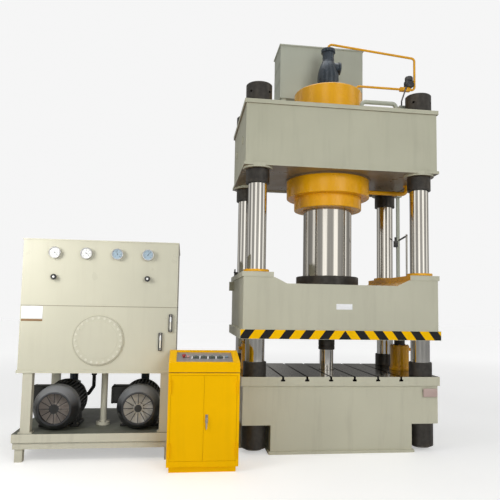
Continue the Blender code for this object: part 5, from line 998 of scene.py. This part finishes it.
def make_motor_housing(side_name, at):
    """Finned housing with its end shields, its feet and the terminal box on its left."""
    bm = bmesh.new()
    fins, floor = 36, -0.2157
    outline = []
    for i in range(fins):
        for radius, offset in ((0.18, -0.3), (0.202, -0.17), (0.203, 0.0), (0.202, 0.17), (0.18, 0.3),
                               (0.1795, 0.5)):
            angle = TAU * (i + offset) / fins
            outline.append((radius * math.cos(angle), radius * math.sin(angle)))
    extrude(bm, outline, 0.06, 0.4548, at)
    spin(bm, [(0, 0), (0.157, 0), (0.16, 0.003), (0.16, 0.022), (0.17, 0.026), (0.206, 0.046), (0.206, 0.078),
              (0.203, 0.08), (0, 0.08)], 72, at)
    ring(bm, 0, 0.2045, 0.43, 0.4538, 72, at)
    for side in (-1, 1):
        middle = side * 0.15
        block(bm, middle - 0.04, middle + 0.04, floor, floor + 0.024, 0.11, 0.41, at, 0, 0.004)
        block(bm, middle - 0.015, middle + 0.015, floor + 0.012, -0.09, 0.112, 0.408, at)
        for z in (0.14, 0.38):
            bolt(bm, at @ Vector((middle + side * 0.024, floor + 0.024, z)), None, 0.0115, 1)
    block(bm, -0.27, -0.1, 0.0, 0.166, 0.182, 0.368, at, 0, 0.008)
    block(bm, -0.2915, -0.266, -0.0015, 0.1675, 0.1805, 0.3695, at, 0, 0.007)
    for y in (0.014, 0.152):
        for z in (0.196, 0.354):
            screw(bm, at @ place((-0.2884, y, z), LEFT), 0.006, 0.005, 0.003, 1)
    spin(bm, [(0, 0), (0.026, 0), (0.026, 0.016), (0.019, 0.018), (0.019, 0.03), (0, 0.03)], 24,
         at @ place((-0.215, 0.004, 0.275), FRONT))
    finish(bm, f"motor_housing_{side_name}", [MOTOR, ZINC], f"motor_{side_name}")


def make_cowl(side_name, at, hub_material):
    """Sloped fan cowl, open in front behind a grille with a hub and spokes."""
    bm = bmesh.new()
    wall, face, length, shoulder = 0.006, 0.155, 0.64, 0.565
    spin(bm, [(0.2115, 0.452), (0.212, 0.4525), (0.212, shoulder - 0.012), (0.2095, shoulder),
              (face + 0.004, length - 0.003), (face - 0.004, length), (0.1425, length),
              (0.1425, length - wall), (face - 0.006, length - wall - 0.001), (0.2045, shoulder - wall),
              (0.206, shoulder - 0.014), (0.206, 0.452)], 88, at)
    for turn in turns(4, 0.5):
        spin(bm, [(0, 0.208), (0.007, 0.208), (0.007, 0.2115), (0.005, 0.2135), (0, 0.2135)], 14,
             at @ turn @ place((0, 0, 0.5), RIGHT), 1)
    finish(bm, f"motor_cowl_{side_name}", [COWL, ZINC])

    bm = bmesh.new()
    near, far = length - 0.0015, length - 0.006
    ring(bm, 0.1385, 0.144, far, near, 88, at)
    for turn in turns(12):
        extrude(bm, [(0.03, -0.0042), (0.14, -0.003), (0.14, 0.003), (0.03, 0.0042)], far + 0.0005,
                near - 0.0005, at @ turn)
    spin(bm, [(0, far - 0.002), (0.034, far - 0.002), (0.036, far), (0.036, near), (0.032, near + 0.0012),
              (0, near + 0.0012)], 48, at, 1)
    ring(bm, 0.0362, 0.045, far, near, 48, at, hub_material)
    finish(bm, f"motor_grille_{side_name}", [GUARD, MOTOR, GRILLE], sharp=30)


def make_fan(side_name, at, disc):
    """Fan with its hub, its disc and ten blades."""
    bm = bmesh.new()
    spin(bm, [(0, 0.4258), (0.019, 0.4258), (0.019, 0.485), (0.048, 0.487), (0.159, 0.532), (0.159, 0.538),
              (0.048, 0.538), (0.045, 0.541), (0.045, 0.556), (0.041, 0.56), (0, 0.56)], 56, at)
    for turn in turns(10, 0.5):
        blade = [(0.043, -0.0034), (0.1, -0.0038), (0.154, -0.0032), (0.154, 0.0032), (0.1, 0.0034),
                 (0.043, 0.0034)]
        extrude(bm, blade, 0.536, 0.556, at @ turn)
    finish(bm, f"fan_rotor_{side_name}", [disc, FAN_DARK], f"motor_fan_{side_name}",
           body=f"fan_{side_name}")


def make_pump(side_name, x):
    """Pump behind the motor, with the flanged riser up to the tank's floor."""
    low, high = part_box(f"pump_{side_name}")
    start, top = low.y, high.z
    bm = bmesh.new()
    spin(bm, [(0, 0), (0.158, 0), (0.16, 0.002), (0.16, 0.02), (0.158, 0.022), (0.128, 0.024), (0.092, 0.146),
              (0.092, 0.148), (0.114, 0.148), (0.118, 0.152), (0.118, 0.2), (0.112, 0.204), (0.112, 0.3),
              (0.118, 0.304), (0.118, 0.354), (0.114, 0.358), (0.08, 0.358), (0.08, 0.394), (0.076, 0.398),
              (0, 0.398)], 64, place((x, start, MOTOR_AXIS), REAR))
    bolt_circle(bm, 8, 0.145, (x, start + 0.022, MOTOR_AXIS), REAR, 0.0095, 1)
    bolt_circle(bm, 6, 0.098, (x, start + 0.358, MOTOR_AXIS), REAR, 0.0085, 1)
    y = start + 0.248
    at = place((x, y, 0))
    spin(bm, [(0, MOTOR_AXIS), (0.045, MOTOR_AXIS), (0.045, top - 0.02), (0.075, top - 0.02), (0.075, top),
              (0, top)], 48, at)
    ring(bm, 0.03, 0.075, 0.582, 0.612, 48, at)
    bolt_circle(bm, 4, 0.06, (x, y, 0.612), None, 0.0085, 1)
    bolt_circle(bm, 4, 0.06, (x, y, top - 0.02), DOWN, 0.0085, 1)
    finish(bm, f"pump_body_{side_name}", [VALVE, ZINC], f"pump_{side_name}")


def make_delivery_line():
    """Dark delivery line from the left pump up to the tank's floor, with its union."""
    x, y, floor = -2.598, 0.1, TANK_LOW.z - 0.0003
    bm = bmesh.new()
    sweep(bm, [(x, y, floor - 0.004), (x, y, 0.57), (-2.65, y, 0.49), (-2.74, y, 0.455)], 0.0195, 0.035, 24)
    ring(bm, 0, 0.04, floor - 0.016, floor, 32, place((x, y, 0)))
    ring(bm, 0, 0.029, 0.69, 0.724, 6, place((x, y, 0)))
    bolt_circle(bm, 4, 0.032, (x, y, floor - 0.016), DOWN, 0.006)
    finish(bm, "delivery_line", MOTOR)


# Control console

DESK_RUN, DESK_RISE = 0.349, 0.079
DESK_HALFWAY = (0.022 + math.hypot(DESK_RUN, DESK_RISE) - 0.026) / 2
DESK = place((-1.759, -1.155, 0.963)) @ Matrix.Rotation(math.atan2(DESK_RISE, DESK_RUN), 4, "X")
CONSOLE_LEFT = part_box("console_cabinet")[0].x


def make_console():
    """Console with its doors, lever, lip shadow, buttons and panel."""
    dress("console_cabinet", YELLOW, 0.0025)
    dress("console_door_left", YELLOW, 0.0012)
    dress("console_door_right", YELLOW, 0.0012)
    dress("control_panel", PANEL, 0.0008)
    at = place((-1.412, -1.149, 0.468), FRONT)
    bm = bmesh.new()
    spin(bm, [(0, -0.009), (0.0068, -0.009), (0.0068, 0.0068), (0.012, 0.0068), (0.012, 0.018),
              (0.0105, 0.0207), (0, 0.0207)], 36, at)
    lever = [(-0.006, 0.004), (-0.007, -0.06), (-0.0055, -0.088), (0.0, -0.0915), (0.0055, -0.088),
             (0.007, -0.06), (0.006, 0.004)]
    extrude(bm, lever, 0.0112, 0.0206, at)
    finish(bm, "console_lever", STEEL, "door_handle", bevel=0.0012, body="handle")
    bm = bmesh.new()
    block(bm, -1.4242, -1.3998, -1.1556, -1.155, 0.431, 0.505)
    for z in (0.437, 0.499):
        screw(bm, place((-1.412, -1.1556, z), FRONT), 0.0035, 0.003, 0.0012)
    finish(bm, "handle_plate", ZINC, body="door_right")
    bm = bmesh.new()
    block(bm, -1.757, -1.121, -1.1492, -1.1484, 0.868, 0.8755)
    finish(bm, "console_lip_shadow", LIP)
    mushroom = [(0.0118, 0.0053), (0.0118, 0.0153), (0.0188, 0.018), (0.0188, 0.0245), (0.0162, 0.0293),
                (0.0085, 0.0312), (0, 0.0312)]
    make_button("emergency_stop", "stop_button", RED, mushroom)
    cap = [(0.0138, 0.0053), (0.0138, 0.0143), (0.012, 0.0172), (0.0084, 0.0163), (0, 0.0163)]
    for i, style in enumerate((PINK, GREEN, GREEN, GREEN, GREEN, BLUE)):
        make_button(f"push_button_{i + 1}", f"button_{i + 1}", style, cap)
    make_panel_trim()


def on_panel(node):
    """The matrix of a button's place on the panel's face."""
    low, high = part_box(node)
    return DESK @ place(((low.x + high.x) / 2 - CONSOLE_LEFT, DESK_HALFWAY, -0.012))


def make_button(node, body, style, cap):
    """One button: a stem in its hole and its cap."""
    bm = bmesh.new()
    spin(bm, [(0, -0.0138), (0.0083, -0.0138), (0.0083, 0.0053)] + cap, 40, on_panel(node))
    finish(bm, f"cap_{node}", style, node, body)


def make_panel_trim():
    """Dark square frames round the four middle buttons, bezel rings, and plain white tags between them."""
    bm = bmesh.new()
    outer, inner = 0.03, 0.017
    for i in range(2, 6):
        at = on_panel(f"push_button_{i}")
        for x0, x1, y0, y1 in ((-outer, -inner, -outer, outer), (inner, outer, -outer, outer),
                               (-outer, outer, -outer, -inner), (-outer, outer, inner, outer)):
            block(bm, x0, x1, y0, y1, 0.0002, 0.003, at)
        ring(bm, 0.015, 0.0185, 0.0002, 0.0046, 36, at, 1)
    for node, bore in (("push_button_1", 0.015), ("push_button_6", 0.015), ("emergency_stop", 0.0135)):
        ring(bm, bore, 0.019, 0.0002, 0.0036, 36, on_panel(node), 1)
    first, last = on_panel("push_button_2"), on_panel("push_button_5")
    pitch = (last.translation.x - first.translation.x) / 3
    tag = [(-0.01, -0.036), (0.0005, -0.036), (0.006, 0.036), (-0.0045, 0.036)]
    for i, nudge in enumerate((0.004, 0, 0, 0, -0.004)):
        extrude(bm, tag, 0.0002, 0.0022, place((pitch * (i - 0.5) + nudge, 0, 0)) @ first, 2)
    finish(bm, "panel_frames_tags", [FRAME_GREEN, STEEL, TAG])


# Camera, lights and floor

def make_camera():
    """Camera at the photograph's place and angle."""
    yaw, pitch, roll = 0.128145, 0.08162, 0.017749
    forward = Vector((math.sin(yaw) * math.cos(pitch), math.cos(yaw) * math.cos(pitch), math.sin(pitch)))
    right = Vector((math.cos(yaw), -math.sin(yaw), 0.0))
    up = right.cross(forward)
    turned_right = right * math.cos(roll) + up * math.sin(roll)
    turned_up = up * math.cos(roll) - right * math.sin(roll)
    data = bpy.data.cameras.new("photo_camera")
    data.sensor_width = 36.0
    data.lens = 37.6914
    data.shift_x = -0.004764
    data.shift_y = 0.027377
    camera = bpy.data.objects.new("photo_camera", data)
    bpy.context.scene.collection.objects.link(camera)
    rotation = Matrix((turned_right, turned_up, -forward)).transposed().to_4x4()
    camera.matrix_world = Matrix.Translation((-1.640118, -5.92343, 1.471572)) @ rotation
    bpy.context.scene.camera = camera


def lamp(name, at, target, size, power, colour, glossy=True):
    """Adds a soft area lamp that the camera doesn't see."""
    data = bpy.data.lights.new(name, "AREA")
    data.shape = "RECTANGLE"
    data.size, data.size_y = size
    data.energy = power
    data.color = colour
    item = bpy.data.objects.new(name, data)
    item.location = at
    item.rotation_euler = (Vector(target) - Vector(at)).to_track_quat("-Z", "Y").to_euler()
    item.visible_camera = False
    item.visible_glossy = glossy
    bpy.context.scene.collection.objects.link(item)


WALL_AT_FRONT = 0.3
WINDOWS = 7


def surroundings():
    """What the chrome reflects round the press: even windows in a wall, bright in front and dim behind."""
    for window in range(WINDOWS):
        centre = (window + 0.5) / WINDOWS
        front = abs(2 * centre - 1)
        wall, glass = 0.08 + 0.22 * front, 0.2 + 0.8 * front
        yield from ((centre - 0.035, wall), (centre - 0.02, glass), (centre + 0.02, glass), (centre + 0.035, wall))
    yield 1.0, WALL_AT_FRONT


def make_light():
    """Soft lamps, and a world that is white to the camera, plain to surfaces and banded to chrome."""
    lamp("key", (-3.9, -2.4, 2.4), (-2.5, -0.6, 1.5), (1.2, 1.2), 45, (1.0, 0.995, 0.98), False)
    lamp("fill", (2.0, -8.5, 3.8), (0.0, 0, 2.0), (4.0, 4.0), 305, (0.98, 0.99, 1.0), False)
    lamp("top", (-0.8, 0.5, 9.0), (-0.8, 0, 0), (6.0, 5.0), 190, (1.0, 1.0, 1.0))
    world = bpy.data.worlds.new("studio")
    bpy.context.scene.world = world
    world.use_nodes = True
    tree = world.node_tree
    tree.nodes.clear()
    ray = add(tree, "LightPath").outputs
    direction = add(tree, "TexCoord").outputs["Generated"]
    sides = add(tree, "SeparateXYZ", {"Vector": direction}).outputs
    angle = add(tree, "Math", {0: sides["X"], 1: sides["Y"]}, operation="ARCTAN2").outputs["Value"]
    share = add(tree, "MapRange", {"Value": angle, "From Min": -math.pi, "From Max": math.pi})
    ramp = add(tree, "ValToRGB", {"Fac": share.outputs["Result"]})
    stops = ramp.color_ramp.elements
    while len(stops) > 1:
        stops.remove(stops[-1])
    stops[0].position, stops[0].color = 0.0, (WALL_AT_FRONT, WALL_AT_FRONT * 0.98, WALL_AT_FRONT * 0.94, 1.0)
    for position, value in surroundings():
        stops.new(position).color = (value, value * 0.98, value * 0.94, 1.0)
    banded = add(tree, "Background", {"Color": ramp.outputs["Color"], "Strength": 1.9}).outputs["Background"]
    plain = add(tree, "Background", {"Color": (0.92, 0.95, 1.0, 1.0), "Strength": 0.34}).outputs["Background"]
    white = add(tree, "Background", {"Color": (1.0, 1.0, 1.0, 1.0), "Strength": 0.92}).outputs["Background"]
    unseen = add(tree, "MixShader", {"Fac": ray["Is Glossy Ray"], 1: plain, 2: banded}).outputs["Shader"]
    shader = add(tree, "MixShader", {"Fac": ray["Is Camera Ray"], 1: unseen, 2: white}).outputs["Shader"]
    add(tree, "OutputWorld", {"Surface": shader})


def make_floor():
    """Pale floor that glows a little to the camera, more so far away."""
    bm = bmesh.new()
    bmesh.ops.create_grid(bm, x_segments=1, y_segments=1, size=40.0)
    floor = raw(bm, "floor")
    nodes = Nodes("floor_pale", (0.7, 0.69, 0.67), 0.55)
    patches = nodes.spread(nodes.noise(0.5, 2.0), 0.35, 0.7)
    distance = add(nodes.tree, "VectorMath", {0: nodes.coordinates}, operation="LENGTH").outputs["Value"]
    seen = add(nodes.tree, "LightPath").outputs["Is Camera Ray"]
    glow = add(nodes.tree, "Math", {0: nodes.spread(distance, 3.0, 12.0, 0.42, 0.66), 1: seen},
               operation="MULTIPLY")
    nodes.paint({"Base Color": nodes.mix(patches, (0.7, 0.695, 0.68), (0.74, 0.735, 0.72)),
                 "Emission Color": (1.0, 0.998, 0.992, 1.0), "Emission Strength": glow.outputs["Value"]})
    floor.data.materials.append(nodes.material)


def main():
    for step in (
        make_camera, make_light, make_floor, make_frame_castings, make_columns, make_upper_nuts,
        make_cylinder, make_slide,
        make_prefill, make_ejector, make_cushions, make_switch_gear, make_tank, make_gauges, make_knobs,
        make_level_gauges, make_stand, make_motors, make_delivery_line, make_console,
    ):
        step()
    bpy.context.scene.view_settings.view_transform = "Standard"


main()
